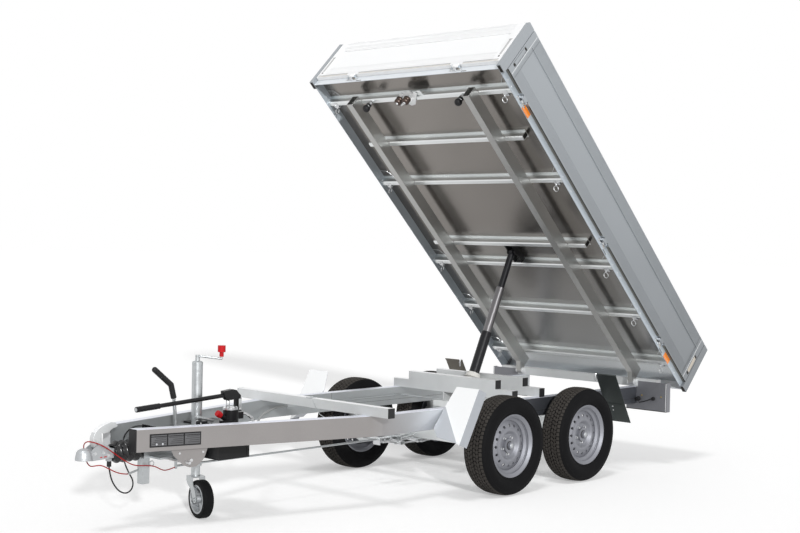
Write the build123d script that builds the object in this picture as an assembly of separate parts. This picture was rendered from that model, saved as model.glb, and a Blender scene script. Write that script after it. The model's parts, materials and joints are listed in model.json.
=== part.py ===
from build123d import *
from math import atan2, cos, degrees, hypot, pi, radians, sin, tan
import os

# Tandem-axle tipper trailer, bed raised. Millimetres.
# +X forward towards the coupling, +Y left, +Z up, ground at Z = 0.
# All chassis sizes are measured from the middle between the two axles; the
# finished model is moved along X so that its origin lies under the middle of
# its overall length.

# ---- driving dimensions: wheels and axles ----
AXLE_SPACING = 776.0
WHEEL_CENTRE_Y = 652.0
TYRE_R = 308.0
TYRE_SECTION_W = 185.0
TYRE_TREAD_W = 146.0
TYRE_BEAD_R = 180.0
RIM_FLANGE_R = 195.0
RIM_WELL_R = 160.0
RIM_W = 140.0
DISC_T = 8.0
DISC_HOLES = 16
DISC_HOLE_R = 9.0
DISC_HOLES_R = 125.0
HUB_R = 32.0
HUB_CAP_R = 24.0
DRUM_R = 118.0
DRUM_W = 65.0
DRUM_OUT = 12.0
STUB_R = 18.0
RUN_GAP = 0.3
AXLE_BOX = 76.0
AXLE_TRAIL = 150.0
AXLE_Z = 345.0
ARM_T = 18.0
ARM_GAP = 11.0
BRAKE_GAP = 7.0
BRAKE_PLATE_T = 4.0

# ---- driving dimensions: chassis ----
RAIL_H = 120.0
RAIL_W = 60.0
RAIL_TOP = 555.0
RAIL_OUTER_Y = 530.0
RAIL_REAR_X = -1305.0
RAIL_BEND_X = 1353.0
RAIL_FRONT_BACK = 220.0
RAIL_FRONT_OUTER_Y = 147.0
BAR_H = 57.0
BAR_W = 50.0
CAP_T = 6.0
FRONT_BAR_AHEAD = 64.0
FRONT_BAR_HALF = 655.0
RAM_BARS_X = -14.0
RAM_BARS_SPREAD = 142.0
LOWER_BAR_HALF = 519.0
UPPER_BAR_HALF = 379.0
REAR_BEAM_X = -1278.0
REAR_BEAM_HALF = 700.0

# ---- driving dimensions: bed (lengths along the bed, heights across it) ----
TILT = 43.9
BED_L = 3005.0
BED_HALF = 826.0
WALL_T = 26.0
WALL_BOTTOM = 45.0
POST_H = 400.0
POST_L = 60.0
POST_W = 30.0
SHEET_T = 3.0
FLOOR_UNDER = 65.0
FLOOR_T = 4.0
MEMBER_H = 52.0
MEMBER_W = 36.0
MEMBER_FLANGE = 14.0
MEMBER_FLANGE_T = 3.0
MEMBER_EDGE = 6.0
MEMBER_REAR_U = 285.0
MEMBER_FRONT_INSET = 212.0
RINGED_SHARES = (1.0, 0.7037, 0.386, 0.1958, 0.0)
OPEN_SHARES = (0.8493, 0.4673)
OPEN_MEMBER_HALF = 670.0
RUNNER_H = 83.0
RUNNER_W = 50.0
RUNNER_Y = 505.0
RUNNER_FRONT_INSET = 158.0
RUNNER_REAR_U = 200.0
RUNNER_WALL = 4.0
END_RECESS = 70.0
BUFFER_R = 20.0
BUFFER_Y = 400.0
BUFFER_AHEAD = 7.0
BUFFER_LOW_V = -73.0
WALL_PIN_R = 4.0
WALL_PIN_OUT = 8.0
WALL_PIN_V = 36.0
KNUCKLE_R = 8.0
KNUCKLE_L = 46.0
LUG_T = 6.0
HINGE_REAR_INSET = 500.0
HINGE_MIDDLE_BACK = 22.5
HINGE_FRONT_INSET = 305.0
END_HINGES_Y = (-450.0, 450.0)
WALL_GAP = 5.0
SEAT_GAP = 0.5
NOTCH_HALF = 36.0
NOTCH_H = 6.0
PANEL_EDGE = 60.0
PANEL_DEPTH = 6.0
PANEL_LOW = 95.0
PANEL_HIGH = 90.0
FLUTE_PITCH = 10.0
FLUTE_W = 4.0
FLUTE_DEPTH = 2.0
FLUTES = 8
REFLECTOR_L = 85.0
REFLECTOR_H = 39.0
REFLECTOR_T = 3.0
REFLECTOR_LOW_V = 2.0
REFLECTOR_FRONT_INSET = 381.0
REFLECTOR_REAR_U = 340.0
CATCH_HALF = 78.0
CATCH_T = 4.0
CATCH_L = 46.0

# ---- driving dimensions: bed pivot and ram ----
PIVOT_X = -1230.0
PIVOT_Z = 589.0
PIVOT_U = 193.0
PIVOT_V = -101.0
PIVOT_Y = 505.0
PIVOT_PIN_R = 12.0
HINGE_EYE_R = 20.0
HINGE_EYE_W = 40.0
HINGE_LUG_T = 8.0
HINGE_ARM_FOOT = 62.0
TRUNNION_X = -12.0
TRUNNION_Z = 526.0
TRUNNION_R = 15.0
TRUNNION_PLATE_Y = 68.0
TRUNNION_PLATE_T = 8.0
EYE_AHEAD = 104.0
EYE_V = 20.0
EYE_R = 18.0
EYE_W = 30.0
BARREL_R = 46.0
BARREL_BELOW = 290.0
BARREL_ABOVE = 160.0
COLLAR_R = 58.0
COLLAR_TOP_R = 44.0
COLLAR_H = 34.0
STAGE_R = (35.0, 29.0, 22.5)
STAGE_STROKE = (300.0, 330.0, 252.0)
STAGE_STEP = 2.0
STAGE_OVERLAP = 60.0
CHEEK_GAP = 13.0
CHEEK_T = 6.0
CHEEK_R = 16.0
STUB_L = 3.0

# ---- driving dimensions: mudguards and lamp carriers ----
GUARD_T = 2.0
GUARD_OUT_Y = 740.0
GUARD_TOP_X = 360.0
GUARD_TOP_Z = 684.0
GUARD_LOW_X = 531.0
GUARD_LOW_Z = 365.0
GUARD_LIP_TOP = (71.0, 31.0)
GUARD_LIP_LOW = (68.0, 25.0)
GUARD_TOP_IN_Y = 563.0
GUARD_RAIL_Z = 567.0
GUARD_FOLD_Y = 714.0
GUARD_FLAP_Y = 579.0
GUARD_FLAP_Z = 375.0
GUARD_FLAP_TOP_Z = 423.0
GUARD_FOLD = 22.0
GUARD_FOOT_L = 44.0
REAR_GUARD_TOP_X = 265.0
REAR_GUARD_LOW_X = 457.0
REAR_GUARD_LOW_Z = 351.0
REAR_GUARD_BEAD_R = 5.0
REAR_GUARD_IN_Y = 595.0
REAR_GUARD_OUT_Y = 760.0
CARRIER_IN_Y = 450.0
CARRIER_OUT_Y = 785.0
CARRIER_TOP = 596.0
CARRIER_LOW = 392.0
CARRIER_DEPTH = 45.0
CARRIER_T = 2.5
CARRIER_CLEAR = 1.0
LAMP_W = 250.0
LAMP_H = 120.0
LAMP_T = 40.0

# ---- driving dimensions: drawbar fittings, set back from the coupling ----
COUPLING_X = 3010.0
COUPLING_Z = 425.0
BALL_R = 25.0
HEAD_R = 46.0
HEAD_LOW = -24.0
HEAD_PROFILE = ((0, 38), (20, 34), (32, 27), (40, 16), (45, -9), (46, -23), (45, -24), (0, -24))
HEAD_CORE_HALF = 30.0
HEAD_PLATE_T = 4.0
SIDE_PLATE = (
    (-6, 5),
    (-38, 37),
    (-60, 51),
    (-76, 55),
    (-95, 51),
    (-125, 42),
    (-156, 12),
    (-156, -7),
    (-145, -22),
    (-126, -25),
    (-23, -28),
)
SHAFT_R = 22.0
SHAFT_BACK = 30.0
BELLOWS_BACK = 345.0
BELLOWS_R = 60.0
BELLOWS_ROOT_R = 45.0
BELLOWS_COLLAR_R = 40.0
BELLOWS_COLLAR_L = 20.0
BELLOWS_L = 180.0
BELLOWS_FOLDS = 4
HANDLE_HALF = 17.0
HANDLE_PIN_R = 7.0
HANDLE_PIN_BACK = 74.0
HANDLE_PIN_UP = 47.0
HANDLE_OUTLINE = (
    (-42, 62),
    (-44, 90),
    (-55, 114),
    (-79, 135),
    (-111, 151),
    (-152, 162),
    (-180, 157),
    (-194, 141),
    (-186, 133),
    (-164, 128),
    (-134, 109),
    (-109, 105),
    (-93, 108),
    (-96, 92),
    (-100, 68),
    (-102, 52),
    (-92, 37),
    (-84, 30.5),
    (-64, 30.5),
    (-52, 39),
)
HOUSING_L = 275.0
HOUSING_W = 86.0
HOUSING_H = 92.0
HOUSING_PLATE_T = 10.0
PROP_HALF = 22.0
PROP_FRONT = 5.0
PROP_REAR = 52.0
PROP_L = 141.0
GLAND_R = 9.0
GLAND_L = 14.0
PLUG_R = 12.0
PLUG_L = 29.0
PLUG_AHEAD = 191.0
SOCKET_HALF = 13.0
LEVER_BACK = 270.0
LEVER_Y = -32.0
LEVER_R = 10.0
LEVER_ROUTE = ((25.0, 206.0), (45.0, 279.0), (155.0, 367.0))
GRIP_R = 16.0
JOCKEY_BACK = 437.0
JOCKEY_Y = -73.0
JOCKEY_TURN = -102.0
JOCKEY_TUBE_R = 30.0
JOCKEY_TUBE_LOW = 282.0
JOCKEY_TUBE_TOP = 861.0
JOCKEY_COLLAR_R = 33.0
JOCKEY_COLLAR_L = 16.0
JOCKEY_INNER_R = 25.0
JOCKEY_TRAIL = 75.0
JOCKEY_WHEEL_R = 106.0
JOCKEY_WHEEL_W = 60.0
JOCKEY_RIM_R = 80.0
JOCKEY_SPOKES = 5
JOCKEY_TRAVEL = 50.0
JOCKEY_CROWN_GAP = 6.0
FORK_IN_Y = 36.0
FORK_T = 5.0
CRANK_HUB_R = 13.0
CRANK_R = 6.0
CRANK_UP = 34.0
CRANK_END = (-95.0, 93.0, 20.0)
KNOB_R = 22.0
KNOB_NECK_R = 12.0
KNOB_H = 63.0
KNOB_NECK_H = 26.0
CLAMP_T = 6.0
CLAMP_BRIDGE_REAR = 34.0
CLAMP_BRIDGE_FRONT = 60.0
CLAMP_BRIDGE_H = 30.0
CLAMP_ROD_R = 8.0
CLAMP_ROD_BACK = 163.0
CLAMP_ROD_Z = 362.0
CLAMP_BACK = 182.0
CLAMP_OUTLINE = (
    (108, 0),
    (93, -33),
    (67, -57),
    (37, -88),
    (3, -101),
    (-36, -99),
    (-63, -79),
    (-82, -56),
    (-102, 0),
)
PUMP_BACK = 631.0
PUMP_BASE_Z = 510.0
PUMP_BODY_R = 44.0
PUMP_BASE_R = 49.0
PUMP_FLANGE_R = 42.0
PUMP_BASE_AHEAD = 28.0
PUMP_BASE_H = 20.0
PUMP_BODY_AHEAD = 8.0
PUMP_BODY_H = 77.0
PUMP_FLANGE_AHEAD = 12.0
PUMP_FLANGE_H = 14.0
PUMP_LUG = (-67.0, 24.0, 62.0)
PUMP_ROD_TOP = 134.0
PUMP_PISTON = (31.0, 10.0)
PUMP_GUIDE = (-20.0, 7.0)
PUMP_LINKS = (-55.0, -33.0, 142.0)
PUMP_LINK_Y = 15.0
PUMP_LINK_T = 6.0
PUMP_VALVE = ((40.0, 23.0), (82.0, 50.0), (107.0, 66.0))
PUMP_VALVE_R = 14.0
PUMP_KNOB_R = 17.0
ELBOW_ROUTE = ((-62.0, 52.0), (-102.0, 46.0), (-157.0, 11.0), (-160.0, -5.0))
PUMP_HALF = 16.0
ROCKER_STEP = 4.3
ROCKER_FRONT = -30.0
PUMP_LEVER_START = (30.0, 163.0)
SHELF_T = 12.0
SHELF_FRONT = 150.0
SHELF_REAR = 60.0
TANK_LOW = 322.0
TANK_REAR = 70.0
TANK_HALF = 75.0
PUMP_LEVER_END = (26.0, 636.0)
PUMP_LEVER_R = 12.0
PUMP_GRIP_R = 15.0
PUMP_GRIP_L = 150.0
ROCKER_OUTLINE = (
    (72, 187),
    (6, 194),
    (-22, 187),
    (-55, 155),
    (-54, 142),
    (-29, 134),
    (-4, 136),
    (15, 134),
    (46, 134),
    (69, 159),
)
PIPE_R = 5.0
PIPE_Y = -460.0
PIPE_Z = 500.0
PIPE_BACK = 203.0
PIPE_FITTING_R = 11.0
PIPE_FITTING_L = 55.0
BRAKE_ROD_Y = -20.0
BRAKE_ROD_Z = 305.0
BRAKE_ROD_R = 6.0
BRAKE_ARM_BACK = 265.0
BRAKE_ARM_T = 14.0
EQUALISER_AHEAD = 110.0
EQUALISER_HALF = 60.0
PLATE_BACK = 83.0
PLATE_L = 288.0
PLATE_LOW = 457.0
PLATE_HIGH = 527.0
PLATE_T = 2.0

# ---- values worked out from the sizes above ----
CT = cos(radians(TILT))
ST = sin(radians(TILT))
BED_X = PIVOT_X - PIVOT_U * CT + PIVOT_V * ST
BED_Z = PIVOT_Z - PIVOT_U * ST - PIVOT_V * CT
NOSE_X = COUPLING_X + HEAD_R
RAIL_FRONT_X = COUPLING_X - RAIL_FRONT_BACK
BELLOWS_X = COUPLING_X - BELLOWS_BACK
HEAD_REAR_X = BELLOWS_X + BELLOWS_L + 1
HOUSING_TOP = COUPLING_Z + HOUSING_H / 2
HOUSING_LOW = COUPLING_Z - HOUSING_H / 2
JOCKEY_X = BELLOWS_X - JOCKEY_BACK
PIPE_FRONT_X = RAIL_BEND_X - PIPE_BACK
PIPE_REAR_X = RAM_BARS_X + RAM_BARS_SPREAD + BAR_W / 4
PUMP_X = BELLOWS_X - PUMP_BACK
FRONT_BAR_X = RAIL_BEND_X + FRONT_BAR_AHEAD
TAIL_X = BED_X - POST_H * ST
SHIFT_X = -(NOSE_X + TAIL_X) / 2
RAIL_ANGLE = atan2(RAIL_OUTER_Y - RAIL_FRONT_OUTER_Y, RAIL_FRONT_X - RAIL_BEND_X)
RAIL_LOW = RAIL_TOP - RAIL_H
BAR_TOP = RAIL_TOP + BAR_H
RUNNER_TOP_V = FLOOR_UNDER - MEMBER_H
RUNNER_LOW_V = RUNNER_TOP_V - RUNNER_H
INNER_HALF = BED_HALF - WALL_T
FLOOR_TOP = FLOOR_UNDER + FLOOR_T
POST_IN_Y = BED_HALF - POST_W
WALL_IN_Y = INNER_HALF + SEAT_GAP
MEMBER_SPAN = BED_L - MEMBER_FRONT_INSET - MEMBER_REAR_U
MEMBERS_RINGED = [MEMBER_REAR_U + share * MEMBER_SPAN for share in RINGED_SHARES]
MEMBERS_OPEN = [MEMBER_REAR_U + share * MEMBER_SPAN for share in OPEN_SHARES]
SIDE_HINGES_U = (HINGE_REAR_INSET, BED_L / 2 - HINGE_MIDDLE_BACK, BED_L - HINGE_FRONT_INSET)
RUNNER_FRONT_U = BED_L - RUNNER_FRONT_INSET
BUFFER_U = MEMBERS_RINGED[0] + BUFFER_AHEAD
EYE_U = MEMBERS_RINGED[2] + MEMBER_W / 2 + EYE_AHEAD
EYE_X = BED_X + EYE_U * CT - EYE_V * ST
EYE_Z = BED_Z + EYE_U * ST + EYE_V * CT
RAM_LEAN = degrees(atan2(TRUNNION_X - EYE_X, EYE_Z - TRUNNION_Z))
RAM_LENGTH = hypot(TRUNNION_X - EYE_X, EYE_Z - TRUNNION_Z)
WHEEL_XS = (AXLE_SPACING / 2, -AXLE_SPACING / 2)


def block(x0, x1, y0, y1, z0, z1):
    """Solid box between two corners."""
    middle = ((x0 + x1) / 2, (y0 + y1) / 2, (z0 + z1) / 2)
    return Pos(*middle) * Box(abs(x1 - x0), abs(y1 - y0), abs(z1 - z0))


def rod_x(x0, x1, y, z, r):
    return Pos((x0 + x1) / 2, y, z) * (Rot(0, 90, 0) * Cylinder(r, abs(x1 - x0)))


def rod_y(y0, y1, x, z, r):
    return Pos(x, (y0 + y1) / 2, z) * (Rot(90, 0, 0) * Cylinder(r, abs(y1 - y0)))


def rod_z(z0, z1, x, y, r):
    return Pos(x, y, (z0 + z1) / 2) * Cylinder(r, abs(z1 - z0))


def other_side(shape):
    """Mirror image across the vertical middle plane."""
    return mirror(shape, about=Plane.XZ)


def both_sides(shape):
    return [shape, other_side(shape)]


def plate_xz(points, y0, y1):
    """Flat plate with an outline in the XZ plane, from y0 to y1."""
    face = make_face(Polyline(*[(x, z) for x, z in points], close=True))
    plate = extrude(Plane.XZ * face, amount=abs(y1 - y0))
    return Pos(0, max(y0, y1), 0) * plate


def plate_xy(points, z0, z1):
    """Flat plate with an outline in the XY plane, from z0 to z1."""
    face = make_face(Polyline(*points, close=True))
    return Pos(0, 0, min(z0, z1)) * extrude(face, amount=abs(z1 - z0))


def turned_y(points, y_shift=0.0):
    """Ring turned about the Y axis from (radius, y) points."""
    face = make_face(Polyline(*[(r, y + y_shift) for r, y in points], close=True))
    return revolve(face, axis=Axis.Y, revolution_arc=360)


def on_bed(shape):
    """Take a shape from bed coordinates to its raised place."""
    return Location((BED_X, 0, BED_Z), (0, -TILT, 0)) * shape


def on_ram(shape):
    """Take a shape from ram coordinates, +Z along the ram, to its place."""
    return Location((TRUNNION_X, 0, TRUNNION_Z), (0, -RAM_LEAN, 0)) * shape


def along_rail(x, inset, shape):
    """Take a shape built at the origin to the left rail's slanted part at x."""
    return Location((x, rail_y(x, inset), 0), (0, 0, -degrees(RAIL_ANGLE))) * shape


def on_fork(shape):
    """Take a shape from fork coordinates, wheel trailing along -X, to its place."""
    return Location((JOCKEY_X, JOCKEY_Y, 0), (0, 0, JOCKEY_TURN)) * shape


def save(name, pieces):
    solids = pieces if isinstance(pieces, list) else [pieces]
    group = Compound(children=[s for piece in solids for s in piece.solids()])
    export_step(Pos(SHIFT_X, 0, 0) * group, f"parts/{name}.step")


# ---- chassis frame ----
def rail_y(x, inset):
    """Lateral place of a line in the rail, inset from its outer face, at x."""
    bend = RAIL_BEND_X - inset * tan(RAIL_ANGLE / 2)
    straight = RAIL_OUTER_Y - inset
    return straight - max(0.0, x - bend) * tan(RAIL_ANGLE)


def rail():
    """Left drawbar rail: box section, straight, then bent in to the overrun."""
    inner_bend = RAIL_BEND_X - RAIL_W * tan(RAIL_ANGLE / 2)
    points = [
        (RAIL_REAR_X, RAIL_OUTER_Y),
        (RAIL_BEND_X, RAIL_OUTER_Y),
        (RAIL_FRONT_X, rail_y(RAIL_FRONT_X, 0)),
        (RAIL_FRONT_X, rail_y(RAIL_FRONT_X, RAIL_W)),
        (inner_bend, RAIL_OUTER_Y - RAIL_W),
        (RAIL_REAR_X, RAIL_OUTER_Y - RAIL_W),
    ]
    return plate_xy(points, RAIL_LOW, RAIL_TOP)


def bar_y(x, half, z0):
    return block(x - BAR_W / 2, x + BAR_W / 2, -half, half, z0, z0 + BAR_H)


def ram_bars():
    """Two low bars on the rails, two short bars on top, and trunnion plates."""
    front = RAM_BARS_X + RAM_BARS_SPREAD
    rear = RAM_BARS_X - RAM_BARS_SPREAD
    frame = bar_y(front, LOWER_BAR_HALF, RAIL_TOP) + bar_y(rear, LOWER_BAR_HALF, RAIL_TOP)
    frame += bar_y(front, UPPER_BAR_HALF, BAR_TOP) + bar_y(rear, UPPER_BAR_HALF, BAR_TOP)
    low = TRUNNION_Z - 2.2 * TRUNNION_R
    plate = block(
        rear - BAR_W / 2,
        front + BAR_W / 2,
        TRUNNION_PLATE_Y - TRUNNION_PLATE_T / 2,
        TRUNNION_PLATE_Y + TRUNNION_PLATE_T / 2,
        low,
        RAIL_TOP,
    )
    hole = rod_y(-LOWER_BAR_HALF, LOWER_BAR_HALF, TRUNNION_X, TRUNNION_Z, TRUNNION_R + RUN_GAP)
    for side in both_sides(plate - hole):
        frame += side
    return frame


def bar_caps():
    """Black caps closing the open ends of the bars and the rails' front ends."""
    caps = []
    front = RAM_BARS_X + RAM_BARS_SPREAD
    rear = RAM_BARS_X - RAM_BARS_SPREAD
    ends = [
        (FRONT_BAR_X, FRONT_BAR_HALF, RAIL_TOP),
        (front, LOWER_BAR_HALF, RAIL_TOP),
        (rear, LOWER_BAR_HALF, RAIL_TOP),
        (front, UPPER_BAR_HALF, BAR_TOP),
        (rear, UPPER_BAR_HALF, BAR_TOP),
    ]
    for x, half, z0 in ends:
        cap = block(x - BAR_W / 2, x + BAR_W / 2, half, half + CAP_T, z0, z0 + BAR_H)
        caps += both_sides(cap)
    rail_cap = block(
        RAIL_FRONT_X,
        RAIL_FRONT_X + CAP_T,
        rail_y(RAIL_FRONT_X, RAIL_W),
        rail_y(RAIL_FRONT_X, 0),
        RAIL_LOW,
        RAIL_TOP,
    )
    return caps + both_sides(rail_cap)


def rear_beam():
    """Cross beam on the rails' rear ends with a pair of lugs at each pivot."""
    beam = block(
        REAR_BEAM_X - BAR_W / 2,
        REAR_BEAM_X + BAR_W / 2,
        -REAR_BEAM_HALF,
        REAR_BEAM_HALF,
        RAIL_TOP,
        RAIL_TOP + BAR_H,
    )
    face = REAR_BEAM_X + BAR_W / 2
    for side in (-1, 1):
        for step in (-1, 1):
            y = side * PIVOT_Y + step * (HINGE_EYE_W / 2 + 1 + HINGE_LUG_T / 2)
            lug = block(
                face,
                PIVOT_X,
                y - HINGE_LUG_T / 2,
                y + HINGE_LUG_T / 2,
                PIVOT_Z - HINGE_EYE_R,
                PIVOT_Z + HINGE_EYE_R,
            )
            lug += rod_y(y - HINGE_LUG_T / 2, y + HINGE_LUG_T / 2, PIVOT_X, PIVOT_Z, HINGE_EYE_R)
            beam += lug
        reach = HINGE_EYE_W / 2 + HINGE_LUG_T + 6
        beam += rod_y(
            side * PIVOT_Y - reach, side * PIVOT_Y + reach, PIVOT_X, PIVOT_Z, PIVOT_PIN_R
        )
    return beam


def lamp_carriers():
    """Folded sheet boxes under the rear beam, open to the rear."""
    front = REAR_BEAM_X + BAR_W / 2 + CARRIER_T
    rear = front - CARRIER_DEPTH
    sheet = block(front - CARRIER_T, front, CARRIER_IN_Y, CARRIER_OUT_Y, CARRIER_LOW, CARRIER_TOP)
    sheet += block(rear, front, CARRIER_IN_Y, CARRIER_IN_Y + CARRIER_T, CARRIER_LOW, RAIL_LOW - 1)
    sheet += block(
        rear, front, CARRIER_OUT_Y - CARRIER_T, CARRIER_OUT_Y, CARRIER_LOW, CARRIER_TOP
    )
    sheet += block(rear, front, CARRIER_IN_Y, CARRIER_OUT_Y, CARRIER_LOW, CARRIER_LOW + CARRIER_T)
    inner = RAIL_OUTER_Y + CARRIER_CLEAR
    rail_slot = block(rear - 1, front + 1, 0, inner, RAIL_LOW - 1, CARRIER_TOP + 1)
    hinge_slot = block(rear - 1, front + 1, 0, inner + HINGE_LUG_T + 6, RAIL_TOP, CARRIER_TOP + 1)
    return both_sides(sheet - rail_slot - hinge_slot)


def rear_lamps():
    front = REAR_BEAM_X + BAR_W / 2
    y0 = RAIL_OUTER_Y + 2
    lamp = block(front - LAMP_T, front, y0, y0 + LAMP_W - 4, CARRIER_LOW + 20, CARRIER_LOW + 20 + LAMP_H)
    return both_sides(lamp)


def front_guards():
    """Folded sheets ahead of the front wheels, cut and folded at the inner side."""
    x0 = AXLE_SPACING / 2 + GUARD_TOP_X
    x1 = AXLE_SPACING / 2 + GUARD_LOW_X
    length = hypot(x1 - x0, GUARD_TOP_Z - GUARD_LOW_Z)
    down = ((x1 - x0) / length, 0, (GUARD_LOW_Z - GUARD_TOP_Z) / length)
    sheet_plane = Plane(origin=(x0, 0, GUARD_TOP_Z), x_dir=down, z_dir=(-down[2], 0, down[0]))
    slope = length / (GUARD_TOP_Z - GUARD_LOW_Z)
    at_rail = (GUARD_TOP_Z - GUARD_RAIL_Z) * slope
    at_flap = (GUARD_TOP_Z - GUARD_FLAP_Z) * slope
    flap_top = (GUARD_TOP_Z - GUARD_FLAP_TOP_Z) * slope
    fold_low = (at_flap + 2, GUARD_FOLD_Y)
    fold_top = (at_rail, RAIL_OUTER_Y)
    main = [
        (0, GUARD_TOP_IN_Y),
        (0, GUARD_OUT_Y),
        (length, GUARD_OUT_Y),
        fold_low,
        fold_top,
    ]
    flap = [fold_top, fold_low, (at_flap, GUARD_FLAP_Y), (flap_top, RAIL_OUTER_Y)]
    guard = extrude(sheet_plane * make_face(Polyline(*main, close=True)), amount=-GUARD_T)
    bent = extrude(sheet_plane * make_face(Polyline(*flap, close=True)), amount=-GUARD_T)
    a = sheet_plane.from_local_coords(Vector(*fold_top, -GUARD_T))
    b = sheet_plane.from_local_coords(Vector(*fold_low, -GUARD_T))
    guard += bent.rotate(Axis(a, b - a), -GUARD_FOLD)
    lip = [
        (x0, GUARD_TOP_Z),
        (x1, GUARD_LOW_Z),
        (x1 - GUARD_LIP_LOW[0], GUARD_LOW_Z - GUARD_LIP_LOW[1]),
        (x0 - GUARD_LIP_TOP[0], GUARD_TOP_Z - GUARD_LIP_TOP[1]),
    ]
    guard += plate_xz(lip, GUARD_OUT_Y - GUARD_T, GUARD_OUT_Y)
    foot_x = x0 + at_rail * down[0]
    guard += block(
        foot_x - GUARD_FOOT_L,
        foot_x + GUARD_FOOT_L / 2,
        RAIL_OUTER_Y,
        RAIL_OUTER_Y + GUARD_T,
        RAIL_LOW + GUARD_FOOT_L,
        RAIL_TOP,
    )
    return both_sides(guard)


def rear_guards():
    """Sloping sheets behind the rear wheels on a stay from each rail."""
    x0 = -AXLE_SPACING / 2 - REAR_GUARD_TOP_X
    x1 = -AXLE_SPACING / 2 - REAR_GUARD_LOW_X
    sheet = [
        (x0, GUARD_TOP_Z),
        (x1, REAR_GUARD_LOW_Z),
        (x1 - GUARD_T, REAR_GUARD_LOW_Z),
        (x0 - GUARD_T, GUARD_TOP_Z),
    ]
    guard = plate_xz(sheet, REAR_GUARD_IN_Y, REAR_GUARD_OUT_Y)
    guard += rod_y(REAR_GUARD_IN_Y, REAR_GUARD_OUT_Y, x0, GUARD_TOP_Z, REAR_GUARD_BEAD_R)
    z = RAIL_LOW + RAIL_H / 2
    x_at = x0 + (x1 - x0) * (GUARD_TOP_Z - z) / (GUARD_TOP_Z - REAR_GUARD_LOW_Z)
    stay = block(x_at - 24, x_at - 4, RAIL_OUTER_Y, REAR_GUARD_OUT_Y - 20, z - 15, z + 15)
    return both_sides(guard + stay)


# ---- axles and wheels ----
def axle(x):
    """Rubber-sprung axle: beam, trailing arms, stub axles and brake plates."""
    beam_x = x + AXLE_TRAIL
    half = RAIL_OUTER_Y + ARM_GAP
    body = block(
        beam_x - AXLE_BOX / 2,
        beam_x + AXLE_BOX / 2,
        -half,
        half,
        AXLE_Z - AXLE_BOX / 2,
        AXLE_Z + AXLE_BOX / 2,
    )
    hanger = block(
        beam_x - AXLE_BOX / 2,
        beam_x + AXLE_BOX / 2,
        RAIL_OUTER_Y - RAIL_W,
        RAIL_OUTER_Y,
        AXLE_Z,
        RAIL_LOW,
    )
    arm = rod_y(half, half + ARM_T, beam_x, AXLE_Z, 34) + rod_y(half, half + ARM_T, x, TYRE_R, 30)
    drop = AXLE_Z - TYRE_R
    spine = [
        (beam_x, AXLE_Z + 26),
        (beam_x, AXLE_Z - 26),
        (x, AXLE_Z - drop - 22),
        (x, AXLE_Z - drop + 22),
    ]
    arm += plate_xz(spine, half, half + ARM_T)
    plate_y = half + ARM_T + BRAKE_GAP
    arm += rod_y(half + ARM_T, plate_y, x, TYRE_R, 45)
    arm += rod_y(plate_y, plate_y + BRAKE_PLATE_T, x, TYRE_R, DRUM_R + 4)
    stub_end = WHEEL_CENTRE_Y + 20
    arm += rod_y(plate_y, stub_end, x, TYRE_R, STUB_R)
    for side in both_sides(hanger + arm):
        body += side
    return body


def tyre():
    """Tyre turned about Y, centred on the wheel's middle plane."""
    half = TYRE_SECTION_W / 2
    tread = TYRE_TREAD_W / 2
    wide_r = (TYRE_R + TYRE_BEAD_R) / 2 - 8
    flange = RIM_W / 2
    right = [
        (tread, TYRE_R),
        (half - 6, TYRE_R - 25),
        (half, wide_r),
        (half - 8, RIM_FLANGE_R + 13),
        (flange - 2, RIM_FLANGE_R + 4),
        (flange - 15, TYRE_BEAD_R),
    ]
    inner = [(flange - 28, TYRE_BEAD_R), (half - 22, wide_r), (tread - 6, TYRE_R - 18)]
    ring = right + inner
    left = [(-a, r) for a, r in reversed(ring)]
    points = [(r, a) for a, r in ring + left]
    return turned_y(points)


def wheel():
    """Steel wheel with its hub and brake drum; outer side towards +Y."""
    half = RIM_W / 2
    rim = turned_y(
        [
            (RIM_FLANGE_R, half),
            (TYRE_BEAD_R - RUN_GAP, half - 12),
            (TYRE_BEAD_R - RUN_GAP, half - 26),
            (RIM_WELL_R, half - 40),
            (RIM_WELL_R, 0),
            (TYRE_BEAD_R - RUN_GAP, -half + 30),
            (TYRE_BEAD_R - RUN_GAP, -half + 12),
            (RIM_FLANGE_R, -half),
            (RIM_FLANGE_R - 5, -half),
            (TYRE_BEAD_R - 6, -half + 14),
            (TYRE_BEAD_R - 6, -half + 30),
            (RIM_WELL_R - 5, -4),
            (RIM_WELL_R - 5, half - 42),
            (TYRE_BEAD_R - 6, half - 28),
            (TYRE_BEAD_R - 6, half - 14),
            (RIM_FLANGE_R - 5, half),
        ]
    )
    disc = turned_y(
        [
            (RIM_WELL_R - 2, 20),
            (RIM_WELL_R - 2, 6),
            (122, 30),
            (96, 36),
            (78, 16),
            (HUB_R + 10, 16),
            (HUB_R + 10, 16 + DISC_T),
            (74, 16 + DISC_T),
            (94, 36 + DISC_T),
            (124, 30 + DISC_T),
        ]
    )
    for i in range(DISC_HOLES):
        turn = 2 * pi * i / DISC_HOLES
        disc -= rod_y(0, RIM_W / 2, DISC_HOLES_R * cos(turn), DISC_HOLES_R * sin(turn), DISC_HOLE_R)
    hub = rod_y(-8, 42, 0, 0, HUB_R + 12) + rod_y(42, 62, 0, 0, HUB_CAP_R)
    drum = rod_y(-DRUM_OUT - DRUM_W, -DRUM_OUT, 0, 0, DRUM_R) + rod_y(-DRUM_OUT, 0, 0, 0, HUB_R)
    bore = rod_y(-DRUM_OUT - DRUM_W - 1, 24, 0, 0, STUB_R + RUN_GAP)
    solid = rim + disc + drum + hub
    return solid - bore


def wheel_places():
    places = []
    for end, x in zip(("front", "rear"), WHEEL_XS):
        for side, sign in (("left", 1), ("right", -1)):
            places.append((f"{end}_{side}", x, sign))
    return places


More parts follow.
